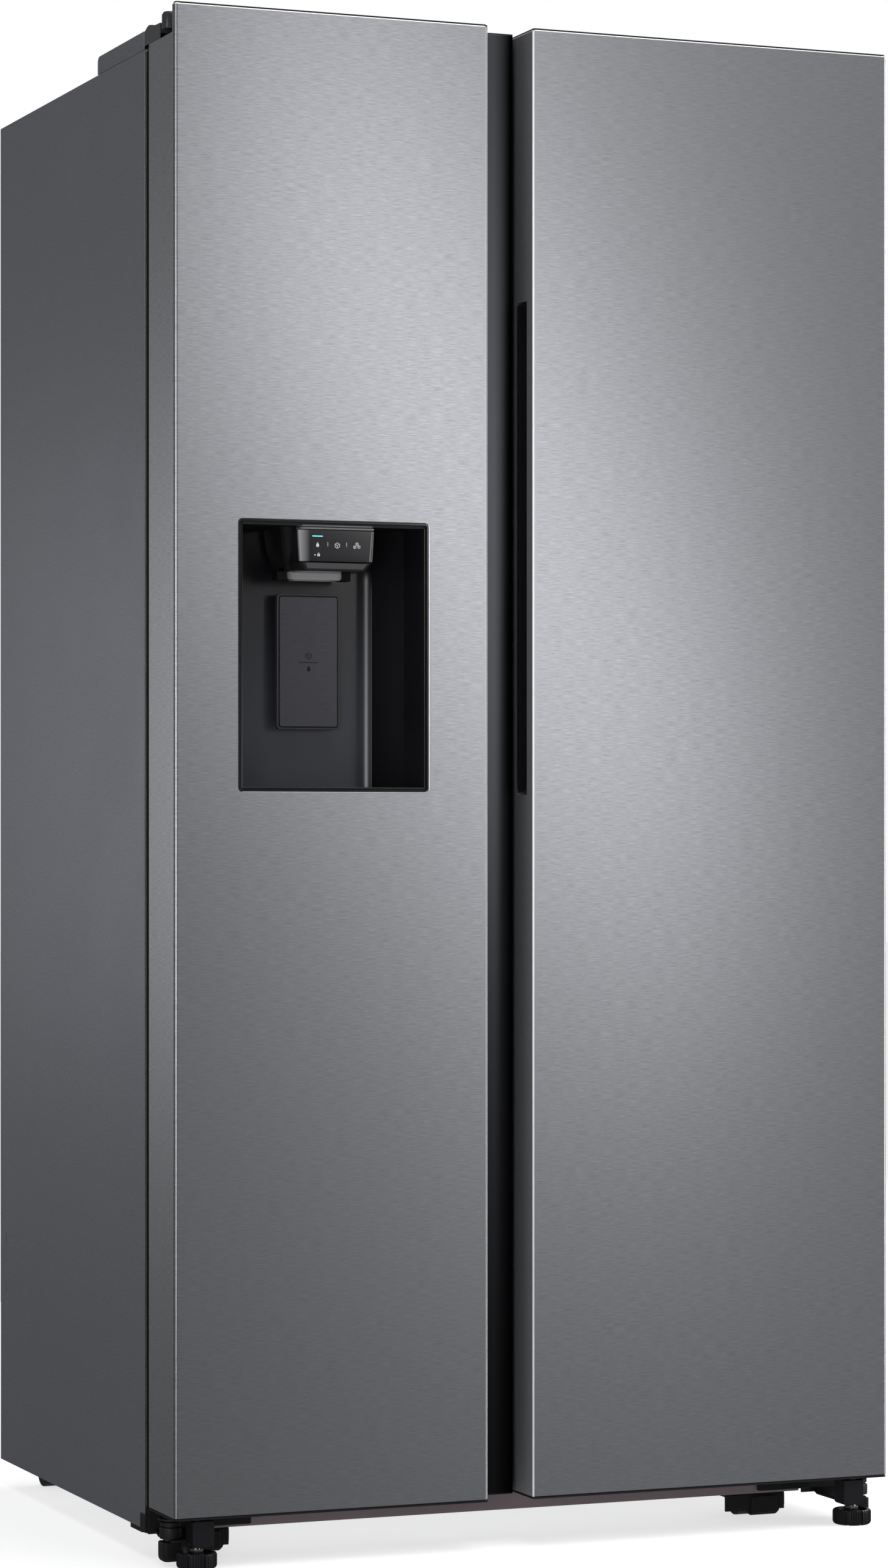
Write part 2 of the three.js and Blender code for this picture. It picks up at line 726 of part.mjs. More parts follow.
/** The dispenser's recess from above: its sides slant inwards from the bezel to the back. */
function recessOutline(inset, front) {
  const bezelHalf = (BEZEL_RIGHT - BEZEL_LEFT) / 2 - 2.5 - inset;
  const backHalf = RECESS_BACK_HALF + RECESS_WALL - inset;
  const back = RECESS_BACK + RECESS_WALL - inset;
  const slope = (bezelHalf - backHalf) / (RECESS_BACK - DOOR_FRONT);
  const frontHalf = backHalf + slope * (back - front);
  return [
    [DISPENSER_X - frontHalf, front],
    [DISPENSER_X + frontHalf, front],
    [DISPENSER_X + backHalf, back],
    [DISPENSER_X - backHalf, back],
  ];
}

/** The way that the ice falls, from the door's inside down into the recess. */
function chuteWay() {
  const [mouthBottom, mouthTop] = CHUTE_MOUTH;
  const outline = [
    [CHUTE_FRONT, BOSS_TOP + 5],
    [CHUTE_BACK, BOSS_TOP + 5],
    [CHUTE_BACK, 1205],
    [-236, mouthBottom],
    [RECESS_BACK - 20, mouthBottom],
    [RECESS_BACK - 20, mouthTop],
    [CHUTE_FRONT, mouthTop],
  ];
  return prism("x", outline, DISPENSER_X - CHUTE_HALF, DISPENSER_X + CHUTE_HALF);
}

function buildFreezerDoor() {
  const opening = [BEZEL_LEFT - GAP, BEZEL_RIGHT + GAP];
  const bezelHole = block(
    opening,
    [DOOR_FRONT - 5, DOOR_FRONT + 3 + GAP],
    [BEZEL_BOTTOM - GAP, BEZEL_TOP + GAP],
  );
  const skin = doorSkin(-1, FREEZER_DOOR_EDGE, FLANGE_FRONT - GAP);
  part("freezer_door_skin", cut(skin, bezelHole), brushedSteel);

  const flange = block(
    [FREEZER_DOOR_EDGE - SHEET - 5, FREEZER_FLANGE_EDGE],
    [FLANGE_FRONT, DOOR_BACK - GAP],
    [DOOR_BOTTOM + 1, DOOR_TOP - 1],
  );
  const boss = block(BOSS_SIDES, [DOOR_BACK - 5, BOSS_BACK], [BOSS_BOTTOM, BOSS_TOP]);
  const recess = prism("z", recessOutline(-GAP, DOOR_FRONT - 5), BEZEL_BOTTOM + 2, BEZEL_TOP - 2);
  const core = join(doorCore(-1, FREEZER_DOOR_EDGE), flange, boss);
  part("freezer_door_core", cut(core, bezelHole, recess, chuteWay()), blackPlastic);
  part("freezer_door_gasket", gasket([-436, -24]), softRubber);

  const [bossLeft, bossRight] = BOSS_SIDES;
  const bossHole = block(
    [bossLeft - GAP, bossRight + GAP],
    [DOOR_BACK - 5, BOSS_BACK + 10],
    [BOSS_BOTTOM - GAP, BOSS_TOP + GAP],
  );
  part("freezer_door_liner", cut(innerPanel(FREEZER_RIBS, [-412, -48]), bossHole), whiteLiner);
  for (const [word, z] of FREEZER_BINS) {
    part(`freezer_door_bin_${word}`, bin(FREEZER_RIBS, z), clearPlastic);
  }
}

// ---------------------------------------------------------------- dispenser

const LEVER_PIVOT = { y: -274, z: 1128 };
const FLAP_PIVOT = { y: -263, z: 1185 };

function buildDispenser() {
  const bezel = block(
    [BEZEL_LEFT, BEZEL_RIGHT],
    [DOOR_FRONT, DOOR_FRONT + 3],
    [BEZEL_BOTTOM, BEZEL_TOP],
  );
  const body = prism("z", recessOutline(0, DOOR_FRONT), BEZEL_BOTTOM + 2.5, BEZEL_TOP - 2.5);
  const room = prism("z", recessOutline(RECESS_WALL, DOOR_FRONT - 5), RECESS_FLOOR, BEZEL_TOP - 5);
  part("dispenser_housing", cut(join(bezel, body), room, chuteWay()), glossBlack);

  const panel = block([DISPENSER_X - 46, DISPENSER_X + 46], [-356, -303], [1156, 1197]);
  const spout = prism(
    "z",
    [
      [DISPENSER_X - 34, -300],
      [DISPENSER_X + 34, -300],
      [DISPENSER_X + 22, -345],
      [DISPENSER_X - 22, -345],
    ],
    1144,
    1157,
  );
  part("dispenser_control_box", join(panel, spout), glossBlack);

  const pad = block([DISPENSER_X - 40.5, DISPENSER_X + 40.5], [-276, -273], [963, 1119]);
  const stem = block([DISPENSER_X - 10, DISPENSER_X + 10], [-276, -272], [1117, LEVER_PIVOT.z]);
  const pivot = rod("x", [DISPENSER_X - 36, LEVER_PIVOT.y, LEVER_PIVOT.z], 3, 72, 16);
  part("dispenser_lever", join(pad, stem, pivot), darkSteel);

  const flap = block([DISPENSER_X - 31, DISPENSER_X + 31], [-264, -262], [1145, FLAP_PIVOT.z]);
  const flapPin = rod("x", [DISPENSER_X - 36, FLAP_PIVOT.y, FLAP_PIVOT.z], 2.5, 72, 12);
  part("chute_flap", join(flap, flapPin), greyPlastic);
}

// ---------------------------------------------------------------- assembly

buildCase();
buildInsulation();
buildLiner("freezer_liner", FREEZER_ROOM, [-FLANGE_INNER + GAP, RAIL_MIDDLE - GAP]);
buildLiner("fridge_liner", FRIDGE_ROOM, [RAIL_MIDDLE + GAP, FLANGE_INNER - GAP]);
buildBase();
buildRollers();
buildHinges();
buildMachineCompartment();
buildFreezer();
buildFridge();
buildFreezerDoor();
buildDispenser();
buildFridgeDoor();

export default refrigerator;
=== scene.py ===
"""Looks of a side by side refrigerator with an ice and water dispenser, built round its frame.

Sizes are millimetres until a mesh is finished: +X to the right, +Y to the back, +Z up.
"""

import math

import bmesh
import bpy
from mathutils import Matrix, Vector


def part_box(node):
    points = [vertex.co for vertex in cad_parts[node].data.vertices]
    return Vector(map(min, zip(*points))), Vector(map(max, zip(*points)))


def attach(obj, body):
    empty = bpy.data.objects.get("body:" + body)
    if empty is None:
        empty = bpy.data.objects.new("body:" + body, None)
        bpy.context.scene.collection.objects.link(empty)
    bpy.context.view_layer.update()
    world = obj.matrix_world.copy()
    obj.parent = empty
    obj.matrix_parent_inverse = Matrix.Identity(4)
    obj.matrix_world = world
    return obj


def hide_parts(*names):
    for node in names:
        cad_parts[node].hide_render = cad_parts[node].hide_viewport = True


MM = 0.001

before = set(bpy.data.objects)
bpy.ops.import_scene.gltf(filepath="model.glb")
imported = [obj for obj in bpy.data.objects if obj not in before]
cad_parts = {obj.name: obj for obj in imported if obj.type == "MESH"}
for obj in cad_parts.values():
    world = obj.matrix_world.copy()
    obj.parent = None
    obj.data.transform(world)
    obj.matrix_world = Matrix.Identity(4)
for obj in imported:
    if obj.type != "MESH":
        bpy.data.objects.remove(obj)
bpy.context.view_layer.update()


def extent(node):
    """A node's span along X, Y and Z at rest, in millimetres."""
    low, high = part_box(node)
    return [(a / MM, b / MM) for a, b in zip(low, high)]


def middle(span):
    return (span[0] + span[1]) / 2


SIDES = (("left", -1), ("right", 1))

# ---------------------------------------------------------------- sizes taken from the frame

FREEZER_SKIN_X, DOOR_Y, DOOR_Z = extent("freezer_door_skin")
FRIDGE_SKIN_X = extent("fridge_door_skin")[0]
FLANGE_X = (FREEZER_SKIN_X[1] - 1, extent("freezer_door_core")[0][1])
HOUSING_X, _, HOUSING_Z = extent("dispenser_housing")
DISPENSER_X = middle(HOUSING_X)
CONTROL_X = DISPENSER_X + 3  # the middle of the control box
CASE_X = (extent("side_panel_left")[0][0], extent("side_panel_right")[0][1])
CASE_Y = extent("side_panel_left")[1]
CASE_Z = extent("side_panel_left")[2]

# ---------------------------------------------------------------- the stage, in metres

LIGHTS = (  # name, place, target, size, power, tilt
    ("strip", (0.99, -3.0, 1.48), (0.0, -0.36, 1.1), (0.25, 1.7), 5.4, 0.53),
    ("left", (-3.4, -1.7, 1.5), (-0.3, -0.3, 0.9), (0.9, 2.2), 14, 0.0),
    ("right", (3.4, -1.7, 1.3), (0.0, -0.3, 0.9), (1.2, 2.2), 62, 0.0),
    ("front", (-3.0, -4.9, 0.95), (-0.2, -0.3, 0.95), (1.0, 0.8), 30, 0.0),
    ("top", (0.2, -1.2, 4.2), (0.0, -0.2, 0.0), (3.4, 3.0), 64, 0.0),
    ("back left", (-2.02, 2.9, 1.0), (-0.45, 0.0, 0.9), (0.6, 1.1), 2.0, 0.0),
    ("back right", (3.4, 2.6, 2.2), (0.2, 0.2, 0.9), (2.0, 2.0), 60, 0.0),
)
# the room's tone from straight down (0) to straight up (1)
ROOM_TONES = ((0.0, 0.24), (0.3, 0.14), (0.43, 0.08), (0.5, 0.18), (0.66, 0.12), (1.0, 0.62))
BRIGHT_SIDE = (1.0, 0.5, 0.0)
SIDE_CHANGE = (-0.22, 0.06)  # where the room goes from its dark side to its bright one
DARK_SIDE_STRENGTH = 0.42
FLOOR_GLOW = 0.66
FLOOR_REACH = 24000  # in millimetres, like the meshes
CAMERA_PLACE = (-1.9829, -4.9788, 0.8433)
CAMERA_TURN = -21.9
CAMERA_LENS = 98.0
CAMERA_SHIFT = 0.0305

# ---------------------------------------------------------------- other sizes

FLANGE_FRONT = -309
FREEZER_ROOM = (-410, -50)
FRIDGE_ROOM = (20, 410)
ROOM_Z = (110, 1700)
ROOM_BACK = 298
HINGE_X = 443
HINGE_Y = -304
DOOR_EDGE = 1.7  # width of the bevel round a door's front, which carries a painted highlight
DOOR_CORNER = 4
SHEET = 2.6
CAP = 1.6  # the black cap seen over and under a door's front
WRAP_SHORT = 1.8  # how far the steel stops short of a door's back
SHEET_BACK = 3.4  # how far the side sheets stand back from the cabinet's front
RECESS_BACK = -258.4
CONTROL_FRONT = -357.3
FUNNEL_Z = 1137  # the lower rim of the outlet
PAD_X = (DISPENSER_X - 42, DISPENSER_X + 36.5)
PAD_Z = (963, 1122)
HOOD_BORE = 17  # the radius of the way that the ice takes
BOSS_X, BOSS_Z = (-383.6, -141.4), (878.4, 1217.6)  # the cover behind the dispenser
CHUTE_X, CHUTE_Y = (DISPENSER_X - 28, DISPENSER_X + 28), (-250, -180)
FOOT_PLACE = (421, -333)  # the stud's axis on the right side
STUD_Z = (17.0, 55)
THREAD_PITCH = 1.4
STEP_TOP = 280  # the top of the raised floor over the machine compartment
SHELF_LEVELS = {"freezer": (888, 1120, 640), "fridge": (575, 760, 950, 1140, 1325, 1510)}
FAN_Z = 900
SLOT_HEIGHT = 7
LAMP_Z = (1691, 1697.4)
POCKET = {"y": (-339, FLANGE_FRONT), "z": (882, 1475), "depth": 27}  # for the fingers
NOTCH = {"x": 399, "front": -350, "floor": 1755}  # in a door, under the upper hinge's boss


# ================================================================ mesh tools


class Shape:
    """A mesh in the making, in millimetres."""

    def __init__(self):
        self.bm = bmesh.new()

    def loft(self, loops, closed=False):
        """Skins a run of loops. A closed run ends where it starts, an open one is capped."""
        rings = [[self.bm.verts.new(point) for point in loop] for loop in loops]
        pairs = list(zip(rings, rings[1:]))
        if closed:
            pairs.append((rings[-1], rings[0]))
        rows = []
        for near, far in pairs:
            row = []
            for i in range(len(near)):
                j = (i + 1) % len(near)
                row.append(self.bm.faces.new((near[i], near[j], far[j], far[i])))
            rows.append(row)
        if not closed:
            for end in (rings[0], rings[-1]):
                self.bm.faces.new(end)
        return rows

    def stack(self, axis, sections, closed=False):
        """Skins (outline, level) pairs: an outline is (x, y) for z, (y, z) for x and (x, z) for y."""
        loops = [[spread(axis, a, b, level) for a, b in outline] for outline, level in sections]
        self.loft(loops, closed)
        return self

    def prism(self, axis, outline, low, high):
        """Sweeps an outline along an axis."""
        return self.stack(axis, [(outline, low), (outline, high)])

    def box(self, x, y, z):
        outline = [(x[0], y[0]), (x[1], y[0]), (x[1], y[1]), (x[0], y[1])]
        return self.prism("z", outline, z[0], z[1])

    def rod(self, axis, centre, radius, low, high, sides=32):
        return self.prism(axis, circle(centre, radius, sides), low, high)

    def lathe(self, axis, centre, profile, sides=40):
        """Turns (radius, level) pairs round an axis."""
        return self.stack(axis, [(circle(centre, radius, sides), level) for radius, level in profile])

    def frame_ring(self, axis, profile, span_a, span_b, radius, steps=5):
        """A rounded frame: profile gives (inset, level) pairs round its section."""
        sections = []
        for inset, level in profile:
            sections.append((rounded(span_a, span_b, radius - inset, inset, steps), level))
        return self.stack(axis, sections, closed=True)


def spread(axis, a, b, level):
    """A point from its two places across an axis and its level along it."""
    if axis == "z":
        return (a, b, level)
    if axis == "x":
        return (level, a, b)
    return (a, level, b)


def turns(sides):
    return [2 * math.pi * i / sides for i in range(sides)]


def circle(centre, radius, sides):
    return [(centre[0] + radius * math.cos(t), centre[1] + radius * math.sin(t)) for t in turns(sides)]


def ring(centre, radius, level, sides, wave=None):
    """A circle at a level, its radius scaled by wave(angle)."""
    points = []
    for angle in turns(sides):
        reach = radius * (wave(angle) if wave else 1)
        points.append((centre[0] + reach * math.cos(angle), centre[1] + reach * math.sin(angle), level))
    return points


def rounded(span_a, span_b, radius, inset=0.0, steps=5):
    """A rectangle with round corners, drawn in by an inset."""
    radius = max(radius, 0.3)
    a0, a1 = span_a[0] + inset, span_a[1] - inset
    b0, b1 = span_b[0] + inset, span_b[1] - inset
    corners = ((a1, b0, -90), (a1, b1, 0), (a0, b1, 90), (a0, b0, 180))
    points = []
    for a, b, start in corners:
        centre_a = a - radius if a == a1 else a + radius
        centre_b = b - radius if b == b1 else b + radius
        for i in range(steps + 1):
            angle = math.radians(start + 90 * i / steps)
            points.append((centre_a + radius * math.cos(angle), centre_b + radius * math.sin(angle)))
    return points


def mirrored(side, near, far):
    """A span on the right side, or its mirror image on the left."""
    return (-far, -near) if side < 0 else (near, far)


def to_object(name, shape):
    """Makes a finished shape an object, in metres."""
    bm = shape.bm
    bmesh.ops.recalc_face_normals(bm, faces=bm.faces)
    mesh = bpy.data.meshes.new(name)
    bm.to_mesh(mesh)
    bm.free()
    mesh.transform(Matrix.Scale(MM, 4))
    obj = bpy.data.objects.new(name, mesh)
    bpy.context.scene.collection.objects.link(obj)
    return obj


def bake_modifiers(obj):
    """Turns an object's modifiers into its mesh."""
    graph = bpy.context.evaluated_depsgraph_get()
    mesh = bpy.data.meshes.new_from_object(obj.evaluated_get(graph))
    obj.modifiers.clear()
    obj.data = mesh


def carve(obj, *cutters):
    """Cuts shapes out of an object."""
    tools = [to_object("cutter", cutter) for cutter in cutters]
    for tool in tools:
        modifier = obj.modifiers.new("cut", "BOOLEAN")
        modifier.operation = "DIFFERENCE"
        modifier.solver = "EXACT"
        modifier.object = tool
    bake_modifiers(obj)
    for tool in tools:
        bpy.data.objects.remove(tool)


def round_edges(obj, width, segments=2, angle=35):
    """Bevels every edge sharper than an angle."""
    modifier = obj.modifiers.new("bevel", "BEVEL")
    modifier.width = width * MM
    modifier.segments = segments
    modifier.limit_method = "ANGLE"
    modifier.angle_limit = math.radians(angle)
    bake_modifiers(obj)


def shade(obj, angle):
    """Smooth shading, with creases at the edges sharper than an angle."""
    obj.data.shade_smooth()
    obj.data.set_sharp_from_angle(angle=math.radians(angle))
    obj.modifiers.new("normals", "WEIGHTED_NORMAL").keep_sharp = True
    bake_modifiers(obj)


def place(
    name, shape, body, slot, *extra, finish=None, bevel=0.0, segments=2, cuts=(), replaces=(), smooth=46
):
    """Makes a shape a piece that rides on a body, in its slot's look or in a finish of its own."""
    obj = to_object(name, shape) if isinstance(shape, Shape) else shape
    first = SLOT_LOOKS[slot] if finish is None else finish
    for material in (first, *extra):
        obj.data.materials.append(material)
    if cuts:
        carve(obj, *cuts)
    if bevel:
        round_edges(obj, bevel, segments)
    shade(obj, smooth)
    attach(obj, body)
    if replaces:
        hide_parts(*replaces)


def place_box(name, x, y, z, body, slot, **options):
    """A piece that is a box."""
    place(name, Shape().box(x, y, z), body, slot, **options)


def refined(node, body, slot, bevel, segments=2, cuts=()):
    """Stands a copy with rounded edges in the place of a node."""
    bm = bmesh.new()
    bm.from_mesh(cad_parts[node].data)
    bmesh.ops.remove_doubles(bm, verts=bm.verts, dist=1e-5)
    bmesh.ops.dissolve_limit(bm, angle_limit=math.radians(2), verts=bm.verts, edges=bm.edges)
    for face in bm.faces:
        face.material_index = 0
    mesh = bpy.data.meshes.new(f"{node}_shape")
    bm.to_mesh(mesh)
    bm.free()
    obj = bpy.data.objects.new(f"{node}_shape", mesh)
    bpy.context.scene.collection.objects.link(obj)
    place(f"{node}_shape", obj, body, slot, bevel=bevel, segments=segments, cuts=cuts, replaces=(node,))


def paint_node(node, slot):
    """Gives a node that stays as it is the look of its slot."""
    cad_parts[node].data.materials[0] = SLOT_LOOKS[slot]


# ================================================================ materials


class Nodes:
    """A node tree, with a short way to add a node with its values."""

    def __init__(self, tree):
        self.nodes = tree.nodes
        self.links = tree.links

    def node(self, kind, **inputs):
        node = self.nodes.new(f"ShaderNode{kind}")
        for key, value in inputs.items():
            node.inputs[key.replace("_", " ")].default_value = value
        return node


class Look(Nodes):
    """A material's node tree, with the few patterns used here."""

    def __init__(self, name, roughness, metallic=0.0, **sockets):
        self.material = bpy.data.materials.new(name)
        self.material.use_nodes = True
        super().__init__(self.material.node_tree)
        self.shader = self.nodes["Principled BSDF"]
        self.set("Roughness", roughness)
        self.set("Metallic", metallic)
        for socket, value in sockets.items():
            self.set(socket.replace("_", " "), value)

    def set(self, socket, value):
        self.shader.inputs[socket].default_value = value

    def place_on(self, scale):
        """Coordinates fixed to the piece, in metres, scaled along each axis."""
        where = self.node("TexCoord")
        mapping = self.node("Mapping", Scale=scale)
        self.links.new(where.outputs["Object"], mapping.inputs["Vector"])
        return mapping.outputs["Vector"]

    def along_sheet(self, run, rise):
        """Coordinates that follow a standing sheet: along its surface, and up."""
        where = self.node("TexCoord")
        along = self.node("VectorMath")
        along.operation = "DOT_PRODUCT"
        along.inputs[1].default_value = (run, run, 0)
        self.links.new(where.outputs["Object"], along.inputs[0])
        up = self.node("VectorMath")
        up.operation = "DOT_PRODUCT"
        up.inputs[1].default_value = (0, 0, rise)
        self.links.new(where.outputs["Object"], up.inputs[0])
        both = self.node("CombineXYZ")
        self.links.new(along.outputs["Value"], both.inputs["X"])
        self.links.new(up.outputs["Value"], both.inputs["Z"])
        return both.outputs["Vector"]

    def noise(self, vector, scale=1.0, detail=3.0, rough=0.5):
        noise = self.node("TexNoise", Scale=scale, Detail=detail, Roughness=rough)
        self.links.new(vector, noise.inputs["Vector"])
        return noise.outputs["Fac"]

    def tint(self, factor, dark, light, low=0.3, high=0.7):
        ramp = self.nodes.new("ShaderNodeValToRGB")
        ramp.color_ramp.elements[0].position = low
        ramp.color_ramp.elements[0].color = (*dark, 1)
        ramp.color_ramp.elements[1].position = high
        ramp.color_ramp.elements[1].color = (*light, 1)
        self.links.new(factor, ramp.inputs["Fac"])
        self.links.new(ramp.outputs["Color"], self.shader.inputs["Base Color"])

    def vary_roughness(self, factor, low, high):
        spread_out = self.node("MapRange", From_Min=0.3, From_Max=0.7, To_Min=low, To_Max=high)
        self.links.new(factor, spread_out.inputs["Value"])
        self.links.new(spread_out.outputs["Result"], self.shader.inputs["Roughness"])

    def bump(self, factor, strength, distance):
        bump = self.node("Bump", Strength=strength, Distance=distance)
        self.links.new(factor, bump.inputs["Height"])
        self.links.new(bump.outputs["Normal"], self.shader.inputs["Normal"])


def around(color, change):
    """A colour a little darker and a little lighter."""
    return [tuple(c * (1 + sign * change) for c in color) for sign in (-1, 1)]


def brushed(name, color, roughness, contrast=0.25, run=60.0, rise=1200.0):
    """Brushed metal: fine streaks that run level round a standing sheet."""
    look = Look(name, roughness, metallic=1.0, Anisotropic=0.6, Anisotropic_Rotation=0.25)
    streaks = look.noise(look.along_sheet(run, rise), detail=4, rough=0.75)
    look.tint(streaks, *around(color, contrast), low=0.3, high=0.7)
    look.vary_roughness(streaks, roughness + 0.03, roughness - 0.03)
    look.bump(streaks, 0.12, 0.00004)
    tangent = look.node("Tangent")
    tangent.direction_type = "RADIAL"
    tangent.axis = "Z"
    look.links.new(tangent.outputs["Tangent"], look.shader.inputs["Tangent"])
    return look.material


def grained(
    name, color, roughness, metallic=0.0, grain=700.0, depth=0.00012, change=0.08, speckled=False,
    **sockets,
):
    """Paint or moulded plastic: a fine skin texture and a drift of tone, fine when speckled."""
    look = Look(name, roughness, metallic, **sockets)
    fine = look.noise(look.place_on((grain, grain, grain)), detail=2)
    slow = look.noise(look.place_on((7, 7, 7)), detail=4)
    look.tint(fine if speckled else slow, *around(color, change))
    look.vary_roughness(slow, roughness - 0.02, roughness + 0.02)
    look.bump(fine, 0.25, depth)
    return look.material


def fading(name, roughness, dark, light, ranges, **sockets):
    """Painted light and shade: a tone that runs from a dark to a light end along one or two axes, given
    in metres.
    """
    look = Look(name, roughness, **sockets)
    split = look.node("SeparateXYZ")
    look.links.new(look.node("TexCoord").outputs["Object"], split.inputs["Vector"])
    both = look.node("Math")
    both.operation = "MULTIPLY"
    both.inputs[1].default_value = 1.0
    for (axis, dark_end, light_end), socket in zip(ranges, both.inputs):
        share = look.node("MapRange", From_Min=dark_end, From_Max=light_end)
        look.links.new(split.outputs[axis], share.inputs["Value"])
        look.links.new(share.outputs["Result"], socket)
    look.tint(both.outputs["Value"], dark, light, low=0.0, high=1.0)
    look.bump(look.noise(look.place_on((900, 900, 900))), 0.15, 0.00008)
    return look.material


def clear(name, color, roughness, transmission):
    """Clear plastic or glass."""
    look = Look(name, roughness, IOR=1.49)
    look.set("Transmission Weight", transmission)
    slow = look.noise(look.place_on((14, 14, 14)), detail=3)
    look.tint(slow, *around(color, 0.02))
    look.vary_roughness(slow, roughness, roughness + 0.04)
    return look.material


def glowing(name, color, strength):
    """A print or a cover that gives light of its own."""
    look = Look(name, 0.4)
    fade = look.noise(look.place_on((300, 300, 300)))
    look.tint(fade, *around(color, 0.05))
    look.set("Emission Color", (*color, 1))
    look.set("Emission Strength", strength)
    return look.material


STEEL = (0.59, 0.602, 0.64)
SLOT_LOOKS = {
    "brushed_steel": brushed("brushed steel", STEEL, 0.34),
    "case_paint": grained(
        "case paint", (0.235, 0.25, 0.283), 0.36, 0.7, grain=520, depth=0.0006, change=0.22, speckled=True
    ),
    "zinc_steel": grained(
        "zinc steel", (0.56, 0.57, 0.58), 0.45, 0.75, grain=160, change=0.1, speckled=True
    ),
    "dark_steel": grained("dark steel", (0.02, 0.02, 0.022), 0.45, 0.4),
    "rail_paint": grained("rail paint", (0.2, 0.16, 0.175), 0.4, 0.3),
    "black_plastic": grained("black plastic", (0.010, 0.010, 0.012), 0.42, Specular_IOR_Level=0.25),
    "gloss_black": grained("gloss black", (0.010, 0.010, 0.011), 0.16, grain=90, depth=0.00002),
    "liner": grained("liner white", (0.71, 0.73, 0.75), 0.34, grain=300, change=0.015),
    "foam": grained("foam", (0.70, 0.62, 0.34), 0.9, grain=180, depth=0.0006),
    "clear_plastic": clear("clear plastic", (0.90, 0.94, 0.97), 0.06, 0.92),
    "shelf_glass": clear("shelf glass", (0.80, 0.93, 0.90), 0.02, 0.95),
    "gasket_rubber": grained("gasket rubber", (0.035, 0.036, 0.038), 0.65, grain=500),
    "grey_plastic": grained("grey plastic", (0.15, 0.152, 0.157), 0.4),
    "aluminium": grained("aluminium", (0.62, 0.63, 0.65), 0.35, 1.0, grain=200),
    "compressor_paint": grained("compressor paint", (0.012, 0.012, 0.013), 0.3, 0.2, grain=250),
}
# Painted shade on the centre strip: dark all over, and darker still towards the fridge door and towards
# the bottom.
PAINTED_SHADE_STEEL = fading(
    "centre strip painted shade", 0.36, (0.008, 0.008, 0.009), (0.13, 0.134, 0.145),
    (("X", -0.021, -0.042), ("Z", -0.25, 0.85)), metallic=1.0
)
# Painted shade and light in the recess: darker towards its top and towards its right wall, lighter
# towards its foot.
RECESS_PAINTED_SHADE = fading(
    "recess black painted shade", 0.24, (0.006, 0.006, 0.008), (0.068, 0.073, 0.091),
    (("X", -0.162, -0.176), ("Z", 1.15, 0.87))
)
# A painted highlight on the black control face: lighter towards its left edge and towards its front.
CONTROL_PAINTED_HIGHLIGHT = fading(
    "control black painted highlight", 0.16, (0.010, 0.010, 0.012), (0.24, 0.24, 0.25),
    (("X", MM * (CONTROL_X - 33), MM * (CONTROL_X - 46)), ("Y", -0.352, -0.3565))
)
# A near-white satin standing in for the highlight that a polished bevel catches: a painted highlight.
PAINTED_HIGHLIGHT_EDGE = grained("painted highlight edge", (0.9, 0.9, 0.91), 0.3, 0.35, grain=90, depth=0.00001, change=0.02)
# Painted shade: a darker, duller steel on the doors' inner sides, which face the shaded gap between the
# doors.
INNER_SIDE_PAINTED_SHADE = grained(
    "door inner side painted shade", (0.165, 0.168, 0.18), 0.42, 0.2, grain=520, depth=0.0001, change=0.1,
    speckled=True,
)
POLISHED = grained("polished edge", (0.86, 0.87, 0.88), 0.12, 1.0, grain=90, depth=0.00001, change=0.02)
ZINC = grained("zinc plated fixings", (0.62, 0.62, 0.60), 0.28, 1.0, grain=300)
# Near-black matt for painted shadow in gaps and under the hood.
SHADOW_BLACK = grained("matt black painted shadow", (0.004, 0.004, 0.004), 0.8, grain=500)
SATIN_BLACK = grained("satin black", (0.022, 0.022, 0.024), 0.3, grain=500)
PAD_METAL = brushed("dark brushed metal", (0.097, 0.097, 0.111), 0.36, contrast=0.2, rise=2600)
COVER_DARK = grained("hinge cover dark", (0.055, 0.056, 0.063), 0.2, 0.3, grain=90, depth=0.00002)
FUNNEL_GREY = grained("funnel grey", (0.21, 0.21, 0.218), 0.45)
# A lighter grey for the lips, and for the strip on the control box's right corner that is a painted
# highlight.
EDGE_GREY = grained("edge grey", (0.13, 0.13, 0.138), 0.3)
TRIM_GREY = grained("trim grey", (0.055, 0.055, 0.058), 0.3)
CYAN_LIGHT = glowing("cyan indicator", (0.10, 0.62, 0.72), 1.1)
ICON_GREY = glowing("icon print", (0.5, 0.51, 0.53), 0.14)
LAMP = glowing("lamp cover", (0.95, 0.97, 1.0), 5.0)


# ================================================================ doors


def door_path(side, inner, inner_back, inset, chamfer):
    """A door's outline from above, from its hinge side's back round to its inner side's back."""
    outer = side * (CASE_X[1] - inset)
    front = DOOR_Y[0] + inset
    radius = DOOR_CORNER - inset
    edge = inner + side * inset
    path = [(outer, DOOR_Y[1] - WRAP_SHORT)]
    for i in range(9):
        angle = math.pi / 2 * i / 8
        x = outer - side * radius * (1 - math.cos(angle))
        path.append((x, front + radius * (1 - math.sin(angle))))
    path.append((edge + side * chamfer, front))
    path.append((edge, front + chamfer))
    path.append((edge, inner_back))
    return path


def hinge_notch(side):
    """The room that a door leaves for the boss of its upper hinge."""
    x = mirrored(side, NOTCH["x"], 470)
    return Shape().box(x, (NOTCH["front"], DOOR_Y[1] + 5), (NOTCH["floor"], DOOR_Z[1] + 5))


def grip_cut(side, edge):
    """The finger pocket in a door's inner side, seen from the front as a long trapezium."""
    low, high = POCKET["z"]
    reach = POCKET["depth"] + 5
    mouth = edge - side * 5
    floor = edge + side * POCKET["depth"]
    outline = [(mouth, low), (mouth, high), (floor, high - reach), (floor, low + reach)]
    return Shape().prism("y", outline, *POCKET["y"])


